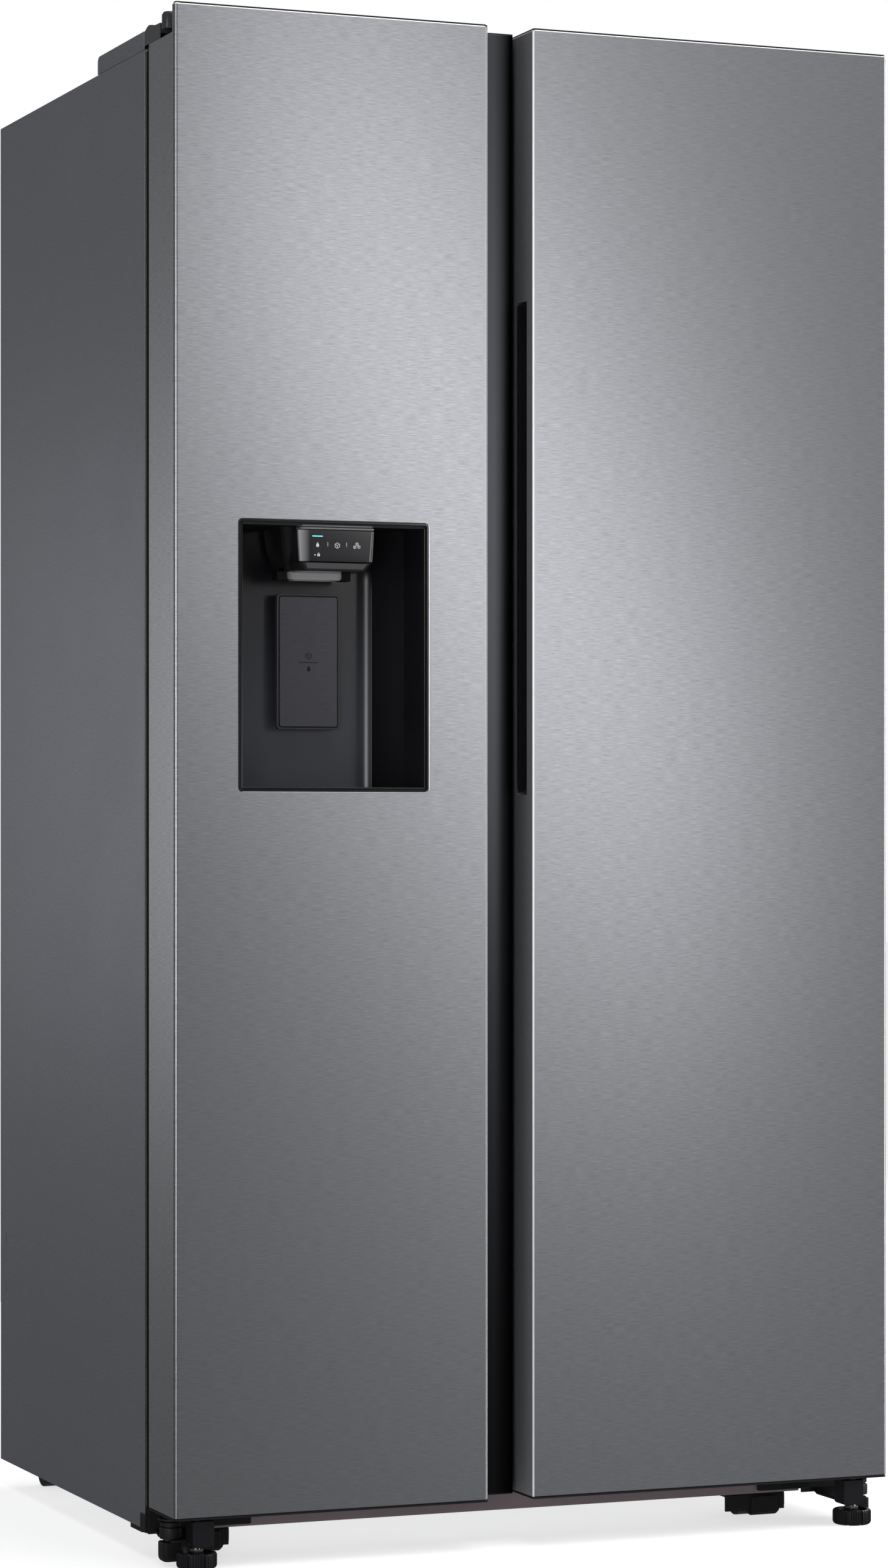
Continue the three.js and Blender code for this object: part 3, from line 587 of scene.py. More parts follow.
def door_skin(name, side, inner, inner_back, body, cuts, chamfer=DOOR_EDGE):
    """The steel wrap of a door, with a painted highlight on the bevel round its front and painted shade
    on its inner side.
    """
    shape = Shape()
    loops = []
    ends = ((DOOR_Z[0] + CAP, DOOR_EDGE), (DOOR_Z[0] + CAP + DOOR_EDGE, 0))
    levels = ends + ((DOOR_Z[1] - CAP - DOOR_EDGE, 0), (DOOR_Z[1] - CAP, DOOR_EDGE))
    for z, inset in levels:
        outside = door_path(side, inner, inner_back, inset, chamfer)
        inside = door_path(side, inner, inner_back, SHEET, chamfer)
        loops.append([(x, y, z) for x, y in outside + inside[::-1]])
    rows = shape.loft(loops)
    bevel_face, inner_face = len(outside) - 3, len(outside) - 2
    # The inner chamfer and, below, the top bevel take the near-white painted highlight.
    for row in rows:
        row[bevel_face].material_index = 1
        # The inner side takes the darker steel of painted shade.
        row[inner_face].material_index = 2
    for face in rows[2][: len(outside) - 1]:
        face.material_index = 1
    cuts = [hinge_notch(side), grip_cut(side, inner), *cuts]
    place(
        f"{name}_wrap", shape, body, "brushed_steel", PAINTED_HIGHLIGHT_EDGE, INNER_SIDE_PAINTED_SHADE, cuts=cuts,
        replaces=(name,), smooth=30,
    )


def door_caps(prefix, side, inner, inner_back, body):
    """The black plastic end caps."""
    low, high = DOOR_Z
    for word, inset, z, cuts in (
        ("bottom", 0.0, (low, low + CAP), ()),
        ("top", DOOR_EDGE, (high - CAP, high), [hinge_notch(side)]),
    ):
        path = door_path(side, inner, inner_back, inset, DOOR_EDGE)
        if inner_back < DOOR_Y[1]:
            path += [(FLANGE_X[1], inner_back), (FLANGE_X[1], DOOR_Y[1])]
        cap = Shape().prism("z", path, *z)
        place(f"{prefix}_{word}_cap", cap, body, "black_plastic", bevel=0.4, cuts=cuts)
    for index, share in enumerate((0.25, 0.6)):
        x = inner + (side * CASE_X[1] - inner) * share
        profile = ((0.5, -1), (9, -1), (9, 0.4), (7, 1.2), (0.5, 1.2))
        plug = Shape().lathe("z", (x, -312), [(radius, high + rise) for radius, rise in profile])
        place(f"{prefix}_top_plug_{index}", plug, body, "black_plastic")


def door_seal(name, x_span, body):
    """A hollow sealing strip with two folds."""
    z_span = (84, 1726)
    back = CASE_Y[0] - 0.4
    front = DOOR_Y[1] + 0.4
    fold = (front + back) / 2
    profile = (
        (2, front), (0, front + 2), (3, fold), (0, back - 2.5), (1, back),
        (20, back), (21.5, back - 2.5), (18, fold), (20, front),
    )
    shape = Shape().frame_ring("y", profile, x_span, z_span, 22)
    place(f"{name}_strip", shape, body, "gasket_rubber", replaces=(name,), smooth=25)


def build_doors():
    """Both doors: their steel wraps, end caps and seals, and the strip in painted shade on the freezer
    door's flange.
    """
    hole = Shape()
    points = rounded(HOUSING_X, HOUSING_Z, 5, -0.4)
    hole.prism("y", points, DOOR_Y[0] - 5, DOOR_Y[0] + 12)
    freezer_edge = FREEZER_SKIN_X[1]
    fridge_edge = FRIDGE_SKIN_X[0]
    door_skin("freezer_door_skin", -1, freezer_edge, FLANGE_FRONT - 0.3, "freezer_door", [hole], 3.4)
    door_skin("fridge_door_skin", 1, fridge_edge, DOOR_Y[1], "fridge_door", [])
    door_caps("freezer_door", -1, freezer_edge, FLANGE_FRONT - 0.3, "freezer_door")
    door_caps("fridge_door", 1, fridge_edge, DOOR_Y[1], "fridge_door")
    # The strip's steel is in painted shade, for the gap between the doors.
    place_box(
        "freezer_door_centre_strip", (FLANGE_X[0] + 1.2, FLANGE_X[1]),
        (FLANGE_FRONT - 0.9, FLANGE_FRONT + 8), (DOOR_Z[0] + 1.5, DOOR_Z[1] - 1.6), "freezer_door",
        "brushed_steel", bevel=0.5, finish=PAINTED_SHADE_STEEL,
    )
    door_seal("freezer_door_gasket", extent("freezer_door_gasket")[0], "freezer_door")
    door_seal("fridge_door_gasket", extent("fridge_door_gasket")[0], "fridge_door")
    paint_node("freezer_door_core", "black_plastic")
    paint_node("fridge_door_core", "black_plastic")


# ================================================================ dispenser


def recess_side(shift, half_front, half_back, radius):
    """One side of the recess from above: its front end, then its round back corner."""
    front, back = DOOR_Y[0] + 1.5, RECESS_BACK + shift
    half_front, half_back, radius = half_front + shift, half_back + shift, radius + shift
    lean = math.atan2(half_front - half_back, back - front)
    centre = (half_back - radius * (1 - math.sin(lean)) / math.cos(lean), back - radius)
    side = [(half_front, front)]
    for i in range(15):
        angle = lean + (math.pi / 2 - lean) * i / 14
        side.append((centre[0] + radius * math.cos(angle), centre[1] + radius * math.sin(angle)))
    return side


def recess_path(shift):
    """The recess from above, moved outwards by a shift: steep at its left, swept at its right."""
    left = [(DISPENSER_X - x, y) for x, y in recess_side(shift, 112, 102, 9)]
    right = [(DISPENSER_X + x, y) for x, y in recess_side(shift, 112, 85, 28)]
    return left + right[::-1]


def build_recess():
    """The black recess in painted shade, its frame, its tray and its ceiling."""
    inner, outer = recess_path(0.0), recess_path(1.2)
    low, high = HOUSING_Z[0] + 2.5, HOUSING_Z[1] - 2.5
    shell = Shape().prism("z", inner + outer[::-1], low, high)
    place(
        "dispenser_recess_shell", shell, "freezer_door", "gloss_black",
        replaces=("dispenser_housing",), smooth=40, finish=RECESS_PAINTED_SHADE,
    )
    profile = ((0, -357.4), (0.9, -358.6), (2.6, -358.6), (3.4, -357.4), (3.4, -352), (0, -352))
    rim = Shape().frame_ring("y", profile, HOUSING_X, HOUSING_Z, 5, steps=6)
    place("dispenser_rim", rim, "freezer_door", "gloss_black", smooth=50)
    line = ((-0.7, -357.9), (0.1, -358.5), (0.5, -358.2), (0.5, -356.5), (-0.7, -356.5))
    trim = Shape().frame_ring("y", line, HOUSING_X, HOUSING_Z, 5.4, steps=6)
    # Painted highlight and shade: the line is polished only along its right side and its foot, and satin
    # black elsewhere.
    for face in trim.bm.faces:
        spot = face.calc_center_median()
        if spot.x < HOUSING_X[1] - 4 and spot.z > HOUSING_Z[0] + 4:
            face.material_index = 1
    place(
        "dispenser_rim_line", trim, "freezer_door", "brushed_steel", SATIN_BLACK, smooth=50,
        finish=POLISHED,
    )
    floor = Shape().prism("z", recess_path(0.8), low, low + 3.2)
    slots = []
    for i in range(9):
        x = DISPENSER_X - 64 + 16 * i
        outline = rounded((x - 4, x + 4), (-332, -280), 3.9)
        slots.append(Shape().prism("z", outline, low + 1.2, low + 20))
    place("dispenser_tray", floor, "freezer_door", "gloss_black", bevel=0.8, cuts=slots)
    ceiling = Shape().prism("z", recess_path(0.8), high - 4, high)
    mouth = Shape().box((DISPENSER_X - 30, DISPENSER_X + 30), (-300, -262), (high - 20, high + 5))
    place("dispenser_ceiling", ceiling, "freezer_door", "black_plastic", cuts=[mouth])


def tapered(centre, sections, back, radius):
    """A body with a flat back: its sections give a level, half a width and a front."""
    outlines = []
    for level, half, front in sections:
        outlines.append((rounded((centre - half, centre + half), (front, back), radius), level))
    return Shape().stack("z", outlines)


def build_chute_hood():
    """The dark body behind the controls, which leans back to the recess."""
    sections = ((1142, 34, -300), (1150, 44, -318), (1170, 52, -330), (1196, 56, -336))
    shape = tapered(DISPENSER_X, sections, -261, 10)
    bore = Shape().prism("z", circle((DISPENSER_X, -284), HOOD_BORE, 24), 1130, 1190)
    flap_room = Shape().box((DISPENSER_X - 38, DISPENSER_X + 38), (-296, -250), (1130, 1192))
    place("dispenser_hood", shape, "freezer_door", "gloss_black", bevel=1.5, cuts=[bore, flap_room])


def build_controls():
    """The control box with its lips and its slanted lower trim."""
    face = CONTROL_FRONT
    halves = ((1155.2, 45.2), (1165, 45.9), (1178, 46.7), (1191.5, 47.4))
    shape = tapered(CONTROL_X, [(z, half, face) for z, half in halves], -300, 3.2)
    # The face carries a painted highlight along its left edge.
    place(
        "dispenser_controls", shape, "freezer_door", "gloss_black", bevel=0.6,
        replaces=("dispenser_control_box",), smooth=50, finish=CONTROL_PAINTED_HIGHLIGHT,
    )
    # A lighter strip along the box's right corner: a painted highlight.
    edge = Shape()
    ends = [(CONTROL_X + reach, z) for reach, z in ((40.9, 1156.4), (43.6, 1190.8))]
    bar(edge, *ends, 1.5, face - 0.15, face + 0.6)
    place("dispenser_control_edge_highlight", edge, "freezer_door", "black_plastic", finish=EDGE_GREY)
    lower_sections = ((1144.6, 36.5, -349), (1146.5, 39.5, -351.5), (1154.4, 44.8, -356.6))
    lower = tapered(CONTROL_X, lower_sections, -304, 5)
    place("dispenser_lower_trim", lower, "freezer_door", "gloss_black", bevel=0.5, smooth=50)
    inlay_sections = []
    for z, half, front in ((1147.4, 34, -352.9), (1153.6, 38.5, -356.9)):
        left, right, back = CONTROL_X - half, CONTROL_X + half, front + 3
        inlay_sections.append(([(left, front), (right, front), (right, back), (left, back)], z))
    inlay = Shape().stack("z", inlay_sections)
    place("dispenser_trim_inlay", inlay, "freezer_door", "black_plastic", finish=TRIM_GREY)
    for index, (z, out) in enumerate(((1192.3, 0.0), (1195.4, 1.0))):
        outline = rounded((CONTROL_X - 45, CONTROL_X + 47.2), (face - 0.4 + out, -340), 4)
        lip = Shape().prism("z", outline, z, z + 2.3)
        place(
            f"dispenser_lip_{index}", lip, "freezer_door", "black_plastic", bevel=0.8, smooth=50,
            finish=EDGE_GREY,
        )


def build_funnel():
    """The grey outlet that shows under the hood, and the dark pieces at its sides."""
    centre = (DISPENSER_X - 4, -291)
    steps = ((34, 17, 13), (33.5, 16.5, 2), (32, 15.5, 0), (29, 13, 0), (30, 14, 12))
    sections = []
    for half_x, half_y, rise in steps:
        spans = [(mid - half, mid + half) for mid, half in zip(centre, (half_x, half_y))]
        sections.append((rounded(*spans, 7), FUNNEL_Z + rise))
    shape = Shape().stack("z", sections, closed=True)
    place("dispenser_funnel", shape, "freezer_door", "grey_plastic", smooth=50, finish=FUNNEL_GREY)
    for name, side, reach in (("catch", 1, 43), ("cheek", -1, 49)):
        near, far = DISPENSER_X + side * 30, DISPENSER_X + side * reach
        corners = [(near, -303), (far, -297), (far, -280), (near, -280)]
        block = Shape().prism("z", corners[::side], FUNNEL_Z - 0.5, FUNNEL_Z + 10)
        # The catch and the cheek are near-black matt: painted shadow under the hood.
        place(
            f"dispenser_funnel_{name}", block, "freezer_door", "black_plastic", bevel=1,
            finish=SHADOW_BLACK,
        )


def build_pad():
    """The pad that a glass pushes: a black rim round a brushed metal face."""
    rim = Shape().prism("y", rounded(PAD_X, PAD_Z, 4.5, steps=6), -277.5, -271)
    rim.box((DISPENSER_X - 11, DISPENSER_X + 11), (-274, -271), (1117, 1146))
    tray = Shape().prism("y", rounded(PAD_X, PAD_Z, 3.5, 2.4, steps=6), -280, -276.7)
    place(
        "dispenser_pad_rim", rim, "dispenser_lever", "dark_steel", bevel=0.9, cuts=[tray],
        replaces=("dispenser_lever",), finish=SATIN_BLACK,
    )
    face = Shape().prism("y", rounded(PAD_X, PAD_Z, 3, 3.0, steps=6), -278.4, -276)
    place(
        "dispenser_pad_face", face, "dispenser_lever", "dark_steel", bevel=0.9, segments=3,
        finish=PAD_METAL,
    )
    mark_x = middle(PAD_X)
    marks = Shape().box((mark_x - 12, mark_x + 12), (-278.6, -278), (1041.4, 1042.2))
    droplet(marks, mark_x, 1034.5, 3.6, -278.6, -278)
    cube_lines(marks, mark_x, 1049.5, 4.0, -278.6, -278, 0.6)
    place("dispenser_pad_marks", marks, "dispenser_lever", "black_plastic")


def droplet(shape, x, z, size, front, back):
    """A drop of water: most of a circle with a point above it."""
    radius, low = 0.62 * size, z - 0.3 * size
    points = []
    for i in range(17):
        angle = math.radians(-215 + 250 * i / 16)
        points.append((x + radius * math.cos(angle), low + radius * math.sin(angle)))
    points.append((x, z + size))
    shape.prism("y", points, front, back)


def bar(shape, start, end, width, front, back):
    """A thin flat line between two points of a front."""
    across = Vector((end[1] - start[1], start[0] - end[0])).normalized() * width / 2
    outline = [
        (start[0] + across.x, start[1] + across.y),
        (end[0] + across.x, end[1] + across.y),
        (end[0] - across.x, end[1] - across.y),
        (start[0] - across.x, start[1] - across.y),
    ]
    shape.prism("y", outline, front, back)


def cube_lines(shape, x, z, size, front, back, width):
    """A cube drawn as a hexagon with three inner edges."""
    corners = [
        (x + size * math.sin(math.radians(60 * i)), z + size * math.cos(math.radians(60 * i)))
        for i in range(6)
    ]
    for start, end in zip(corners, corners[1:] + corners[:1]):
        bar(shape, start, end, width, front, back)
    for corner in corners[1::2]:
        bar(shape, (x, z), corner, width, front, back)


def build_display():
    """Plain pictures for water, ice cubes, crushed ice and the lock."""
    front, back = CONTROL_FRONT - 0.2, CONTROL_FRONT + 0.2
    prints = Shape()
    water, cubes, crushed = CONTROL_X - 23.6, CONTROL_X + 0.7, CONTROL_X + 24.8
    droplet(prints, water, 1174.5, 3.0, front, back)
    cube_lines(prints, cubes, 1174, 3.2, front, back, 0.55)
    for dx, dz in ((-2.6, 0), (2.6, 0.4), (0.2, 3.6)):
        cube_lines(prints, crushed + dx, 1172.6 + dz, 1.8, front, back, 0.45)
    for x in (CONTROL_X - 11.0, CONTROL_X + 12.2):
        prints.box((x - 0.25, x + 0.25), (front, back), (1172.8, 1177.6))
    lock_x = water + 1.2
    prints.box((lock_x - 1.5, lock_x + 1.5), (front, back), (1161.2, 1163.6))
    for i in range(6):
        angles = [math.pi * (i + k) / 6 for k in (0, 1)]
        ends = [(lock_x + 1.1 * math.cos(t), 1163.6 + 1.5 * math.sin(t)) for t in angles]
        bar(prints, *ends, 0.4, front, back)
    place("display_icons", prints, "freezer_door", "gloss_black", finish=ICON_GREY)
    light = Shape().box((water - 6.3, water + 6.3), (front, back), (1183.8, 1184.9))
    light.rod("y", (water - 3.2, 1162.6), 0.7, front, back, 12)
    place("display_indicator", light, "freezer_door", "gloss_black", finish=CYAN_LIGHT)


def build_dispenser():
    """The recess in the freezer door, with its controls, its pad and its ice outlet."""
    build_recess()
    build_chute_hood()
    build_controls()
    build_funnel()
    build_pad()
    build_display()
    refined("chute_flap", "chute_flap", "grey_plastic", 0.6)


# ================================================================ cabinet


def side_panel(word, side):
    """A side sheet that turns round the front edge, with two pressed marks near the back."""
    outer = side * CASE_X[1]
    front = CASE_Y[0] + SHEET_BACK
    radius = 2.2
    outside = [(outer, CASE_Y[1])]
    inside = [(outer - side, CASE_Y[1])]
    for i in range(7):
        angle = math.pi / 2 * i / 6
        for path, reach in ((outside, radius), (inside, radius - 1)):
            x = outer - side * (radius - reach * math.cos(angle))
            path.append((x, front + radius - reach * math.sin(angle)))
    turned_in = side * 441
    outside.append((turned_in, front))
    inside.append((turned_in, front + 1))
    panel = Shape().prism("z", outside + inside[::-1], *CASE_Z)
    marks = []
    for low in (250, 311):
        sections = []
        for inset, x in ((0, outer + side * 0.01), (1.1, outer - side * 0.75)):
            sections.append((rounded((174, 333.5), (low, low + 17), 5 - inset, inset), x))
        marks.append(Shape().stack("x", sections))
    place(
        f"side_sheet_{word}", panel, "cabinet", "case_paint", cuts=marks,
        replaces=(f"side_panel_{word}",), smooth=40,
    )


def front_frame():
    """The painted sheet round the two compartments' mouths, and a near-black strip of painted shadow
    round its outer edge.
    """
    # Painted shadow: the trim is near-black so that the gap behind the doors reads as shade.
    trim = Shape().frame_ring(
        "y",
        ((0.6, CASE_Y[0] + 2.9), (0.6, CASE_Y[0] + 1.4), (9, CASE_Y[0] + 0.4), (9, CASE_Y[0] + 2.9)),
        CASE_X,
        (34, CASE_Z[1]),
        2,
    )
    place("cabinet_front_trim", trim, "cabinet", "gasket_rubber", finish=SHADOW_BLACK)
    shape = Shape().box(
        (CASE_X[0] + 8.6, CASE_X[1] - 8.6), (CASE_Y[0] - 0.35, CASE_Y[0] + 1.2),
        (60, CASE_Z[1] - 8.6),
    )
    mouths = []
    for room in (FREEZER_ROOM, FRIDGE_ROOM):
        outline = rounded((room[0] + 1.5, room[1] - 1.5), (ROOM_Z[0] + 1.5, ROOM_Z[1] - 1.5), 14)
        mouths.append(Shape().prism("y", outline, CASE_Y[0] - 5, CASE_Y[0] + 5))
    place("cabinet_front_frame", shape, "cabinet", "case_paint", cuts=mouths)


def room_outline(front, inset):
    """A compartment from the side, with its raised floor at the back."""
    low, high = ROOM_Z
    return [
        (front, low + inset),
        (90 - inset / 2, low + inset),
        (120 - inset / 2, STEP_TOP + inset),
        (ROOM_BACK - inset, STEP_TOP + inset),
        (ROOM_BACK - inset, high - inset),
        (front, high - inset),
    ]


def room_liner(name, room, levels):
    """A compartment's white lining with round corners and the ledges that carry its shelves."""
    outer = Shape().prism("x", room_outline(CASE_Y[0] + 0.6, 0.4), room[0] + 0.4, room[1] - 0.4)
    inner = Shape().prism("x", room_outline(CASE_Y[0] - 40, 2.4), room[0] + 2.4, room[1] - 2.4)
    hollow = to_object("hollow", inner)
    round_edges(hollow, 9, 3, 20)
    tool = Shape()
    tool.bm.from_mesh(hollow.data)
    tool.bm.transform(Matrix.Scale(1 / MM, 4))
    bpy.data.objects.remove(hollow)
    place(f"{name}_lining", outer, "cabinet", "liner", cuts=[tool], replaces=(name,), smooth=40)
    ledges = Shape()
    for z in levels:
        for x in ((room[0] + 2.2, room[0] + 7.6), (room[1] - 7.6, room[1] - 2.2)):
            ledges.box(x, (-112, 190), (z - 9, z - 1))
    place(f"{name}_ledges", ledges, "cabinet", "liner", bevel=1.6, segments=3)


def lamp(name, x, y, z):
    """A lamp cover, bright all over."""
    place_box(name, x, y, z, "cabinet", "liner", bevel=1.2, finish=LAMP)


def hinge_cover(word, side):
    """The painted cover on the cabinet, its dark wave-topped front and the boss over the pin."""
    name = f"hinge_cover_{word}"
    x = mirrored(side, 406, 453)
    floor = CASE_Z[1] + 2.4
    outline = [(-54, floor), (-54, 1771), (-57, 1775), (-61, 1776), (-235, 1776), (-235, floor)]
    rear = Shape().prism("x", outline, *x)
    room_z = (1740, 1763)
    hollow = Shape().box(mirrored(side, 408, 451), (-246, -57), room_z)
    place(
        f"{name}_rear", rear, "cabinet", "case_paint", bevel=1.2, segments=3, cuts=[hollow],
        replaces=(name,),
    )
    # The seat is near-black matt: painted shadow in the gap under the cover.
    seat = Shape().box(mirrored(side, 407.5, 451.5), (-248, -56), (CASE_Z[1] + 0.3, floor + 0.8))
    seat_room = Shape().box(mirrored(side, 409, 450), (-310, -57.5), room_z)
    place(f"{name}_seat", seat, "cabinet", "gasket_rubber", cuts=[seat_room], finish=SHADOW_BLACK)
    wave = (
        (-235.4, floor + 4), (-235.4, 1775.6), (-244, 1779), (-251, 1780.4), (-260, 1779.2),
        (-268, 1776.6), (-293, 1776), (-293, 1757), (-253, 1757), (-250, floor + 4),
    )
    front = Shape().prism("x", wave, *mirrored(side, 407, 452.4))
    room = Shape().box(mirrored(side, 409, 450.4), (-300, -230), (1740, 1764))
    place(f"{name}_front", front, "cabinet", "dark_steel", bevel=1.0, cuts=[room], finish=COVER_DARK)
    profile = ((0.4, 1767), (9.4, 1767), (10, 1768), (10, 1783), (8, 1786.4), (0.4, 1787))
    boss = Shape().lathe("z", (side * HINGE_X, HINGE_Y), profile, 32)
    place(f"{name}_boss", boss, "cabinet", "dark_steel", smooth=40, finish=COVER_DARK)
    place_box(
        f"{name}_web", mirrored(side, 408, 446), (-312, -290), (1768, 1784), "cabinet", "dark_steel",
        bevel=1.6, finish=COVER_DARK,
    )


def build_case():
    """The cabinet's outside, apart from its back."""
    for word, side in SIDES:
        side_panel(word, side)
        hinge_cover(word, side)
        refined(f"top_hinge_{word}", "cabinet", "dark_steel", 0.8)
    refined("top_panel", "cabinet", "case_paint", 0.3)
    front_frame()
    refined("base_rail", "cabinet", "rail_paint", 0.6)
    refined("base_pan", "cabinet", "zinc_steel", 0.4)
    paint_node("insulation", "foam")


def back_sheet():
    """The zinc coated back, with shallow pressed fields."""
    x, y, z = extent("back_panel")
    sheet = Shape().box(x, y, z)
    width, height = 250, 335
    fields = []
    for column in range(3):
        for row in range(4):
            left = -400 + (width + 25) * column
            low = 275 + (height + 30) * row
            span_x, span_z = (left, left + width), (low, low + height)
            sections = [
                (rounded(span_x, span_z, 14), y[1] + 0.01),
                (rounded(span_x, span_z, 14, 1.2), y[1] - 0.6),
            ]
            fields.append(Shape().stack("y", sections))
    place("back_sheet", sheet, "cabinet", "zinc_steel", cuts=fields, replaces=("back_panel",))


def screw(name, centre, axis, level, way):
    """A pan head screw with a cross in it."""
    profile = ((0.3, 0), (4.2, 0), (4.2, 0.8), (3.0, 2.0), (0.3, 2.2))
    head = Shape().lathe(axis, centre, [(radius, level + way * rise) for radius, rise in profile], 18)
    cuts = []
    for reach in ((2.2, 0.45), (0.45, 2.2)):
        a, b = [(centre[k] - reach[k], centre[k] + reach[k]) for k in (0, 1)]
        span = sorted((level + way * 1.2, level + way * 4))
        outline = [(a[0], b[0]), (a[1], b[0]), (a[1], b[1]), (a[0], b[1])]
        cuts.append(Shape().prism(axis, outline, *span))
    place(name, head, "cabinet", "zinc_steel", cuts=cuts, finish=ZINC)


def build_back():
    """The back sheet with its screws, and what the machine compartment holds."""
    back_sheet()
    refined("machine_cover", "cabinet", "zinc_steel", 0.25)
    refined("water_valve", "cabinet", "grey_plastic", 0.8)
    refined("power_inlet", "cabinet", "black_plastic", 1.0)
    refined("compressor", "cabinet", "compressor_paint", 0.6)
    refined("condenser", "cabinet", "dark_steel", 0.8)
    refined("condenser_fan", "condenser_fan", "black_plastic", 0.4)
    places = [(x, z) for z in (44, 226) for x in (-430, -215, 0, 215, 430)]
    places += [(x, z) for x in (-440, 440) for z in (400, 850, 1300, 1725)]
    for index, (x, z) in enumerate(places):
        screw(f"back_screw_{index}", (x, z), "y", CASE_Y[1] + 1.2, 1)


# ================================================================ feet, rollers, lower hinges


def flutes(angle):
    """The grip round a foot: eight lands with a wide groove between them and fine lines on them."""
    phase = (angle * 8 / (2 * math.pi)) % 1
    if phase < 0.2:
        return 0.90
    return 0.965 if 0.3 < phase < 0.9 and (phase * 6) % 1 < 0.3 else 1.0


def foot(word):
    """A foot: its fluted disc, its threaded stud and the nut between them, which turn as one."""
    x, y, _ = extent(f"front_foot_{word}")
    centre = (middle(x), middle(y))
    radius = (x[1] - x[0]) / 2
    body = f"front_foot_{word}"
    disc = Shape()
    outer = (
        (radius - 3, 0), (radius - 1, 1.2), (radius, 3.5), (radius, 15.5), (radius - 1, 17.4),
        (radius - 2.4, 18),
    )
    plain = ((radius - 4.6, 18), (radius - 5.2, 13), (9.5, 12), (9, 17), (6, 17.6), (0.4, 17.6))
    sides = 240
    loops = [ring(centre, 0.4, 0, sides)]
    loops += [ring(centre, reach, level, sides, flutes) for reach, level in outer]
    loops += [ring(centre, reach, level, sides) for reach, level in plain]
    disc.loft(loops)
    place(f"{body}_disc", disc, body, "black_plastic", replaces=(body,), smooth=35)
    thread = Shape()
    rings = []
    level = STUD_Z[0]
    while level < STUD_Z[1]:
        for reach, rise in ((4.3, 0), (5.0, 0.55), (5.0, 0.8)):
            rings.append(ring(centre, reach, level + rise, 20))
        level += THREAD_PITCH
    thread.loft(rings)
    place(f"{body}_stud", thread, body, "zinc_steel", smooth=30, finish=ZINC)
    nut = Shape().prism("z", circle(centre, 8.3, 6), 18.2, 21.6)
    place(f"{body}_nut", nut, body, "zinc_steel", bevel=0.5, finish=ZINC)


def lower_hinge(word, side):
    """The bent bracket, its barrel on the door's axis, and the box round the foot's stud."""
    pin = (side * HINGE_X, HINGE_Y)
    name = f"bottom_hinge_{word}"
    bent = [
        (-251.4, 30), (-262, 30), (-269, 27), (-321, 27), (-321, 30.4), (-267.6, 30.4),
        (-260.5, 33.6), (-251.4, 33.6),
    ]
    plate = Shape().prism("x", bent, *mirrored(side, 405, 447))
    place(f"{name}_plate", plate, "cabinet", "dark_steel", bevel=0.9, replaces=(name,))
    place_box(
        f"{name}_upright", mirrored(side, 392, 454), (-255, -251.6), (28, 57), "cabinet",
        "dark_steel", bevel=0.6,
    )
    profile = (
        (0.4, 30.6), (12.2, 30.6), (12.8, 31.6), (12.8, 42), (11.8, 43.4), (9.8, 43.8), (9.8, 45),
        (12, 45.4), (12, 49.6), (8, 50.4), (8, 51.6), (14.6, 52), (14.6, 54), (9, 54.4), (9, 57.4),
        (0.4, 57.4),
    )
    barrel = Shape().lathe("z", pin, profile, 40)
    place(f"{name}_barrel", barrel, "cabinet", "dark_steel", smooth=40)
    post = Shape().rod("z", pin, 6, 57, 75, 24)
    place(f"{name}_pin", post, "cabinet", "zinc_steel", bevel=0.8, finish=ZINC)
    x_span = mirrored(side, 431, 455)
    insets = ((4.5, 2.1), (7, 0.6), (10, 0.0), (27, 0.0))
    lump = Shape().stack("z", [(rounded(x_span, (-316, -291), 5, inset), z) for z, inset in insets])
    place(f"{name}_pin_housing", lump, "cabinet", "black_plastic", bevel=1.2)
    outline = ((404, 54), (430, 54), (430, 29), (427, 24.5), (406, 24.5), (404, 26.5))
    box = Shape().prism("y", [(side * x, z) for x, z in outline], -346, -320)
    hole = Shape().rod("z", (side * FOOT_PLACE[0], FOOT_PLACE[1]), 6, 10, 70, 24)
    place(f"{name}_leg_box", box, "cabinet", "black_plastic", bevel=1.4, cuts=[hole])
    place_box(
        f"{name}_arm", mirrored(side, 330, 400), (-262.5, -255.3), (34, 44), "cabinet",
        "black_plastic", bevel=1.2,
    )
    nut = Shape().prism("z", circle(pin, 7, 6), 27.4, 33)
    place(f"{name}_nut", nut, "cabinet", "zinc_steel", bevel=0.5, finish=ZINC)


def corner_cap(word, side):
    """The plastic cap on the cabinet's lower front corner, and the strip behind it."""
    place_box(
        f"corner_cap_{word}", mirrored(side, 438, 457), (-253, -232), (29, 51), "cabinet",
        "black_plastic", bevel=1.5, segments=3,
    )
    place_box(
        f"corner_strip_{word}", mirrored(side, 446, 455), (-234, -190), (27, 36), "cabinet",
        "black_plastic", bevel=0.8,
    )


def roller_apron(word):
    """The moulded front of a roller's housing, with the lump that covers the roller."""
    x = middle(extent(f"front_roller_{word}")[0])
    outline = (
        (-36, 29), (-36, 18), (-24, 10.5), (-9, 10.5), (-7, 6), (-2, 3),
        (32, 3), (36, 6.5), (38, 11), (44, 13), (44, 29),
    )
    front = Shape().prism("y", [(x + reach, z) for reach, z in outline], -250.5, -245)
    place(f"roller_apron_{word}", front, "cabinet", "black_plastic", bevel=1.6, segments=3)
    place_box(
        f"roller_lump_{word}", (x - 3, x + 33), (-253.5, -249), (5, 27), "cabinet", "black_plastic",
        bevel=2.4, segments=3,
    )


def build_base():
    """What stands on the ground and what carries the doors from below."""
    for word, side in SIDES:
        foot(word)
        lower_hinge(word, side)
        corner_cap(word, side)
        refined(f"roller_housing_{word}", "cabinet", "black_plastic", 1.2)
        roller_apron(word)
        refined(f"front_roller_{word}", f"front_roller_{word}", "black_plastic", 1.5, 3)
        refined(f"rear_roller_{word}", f"rear_roller_{word}", "black_plastic", 1.5, 3)


# ================================================================ inside


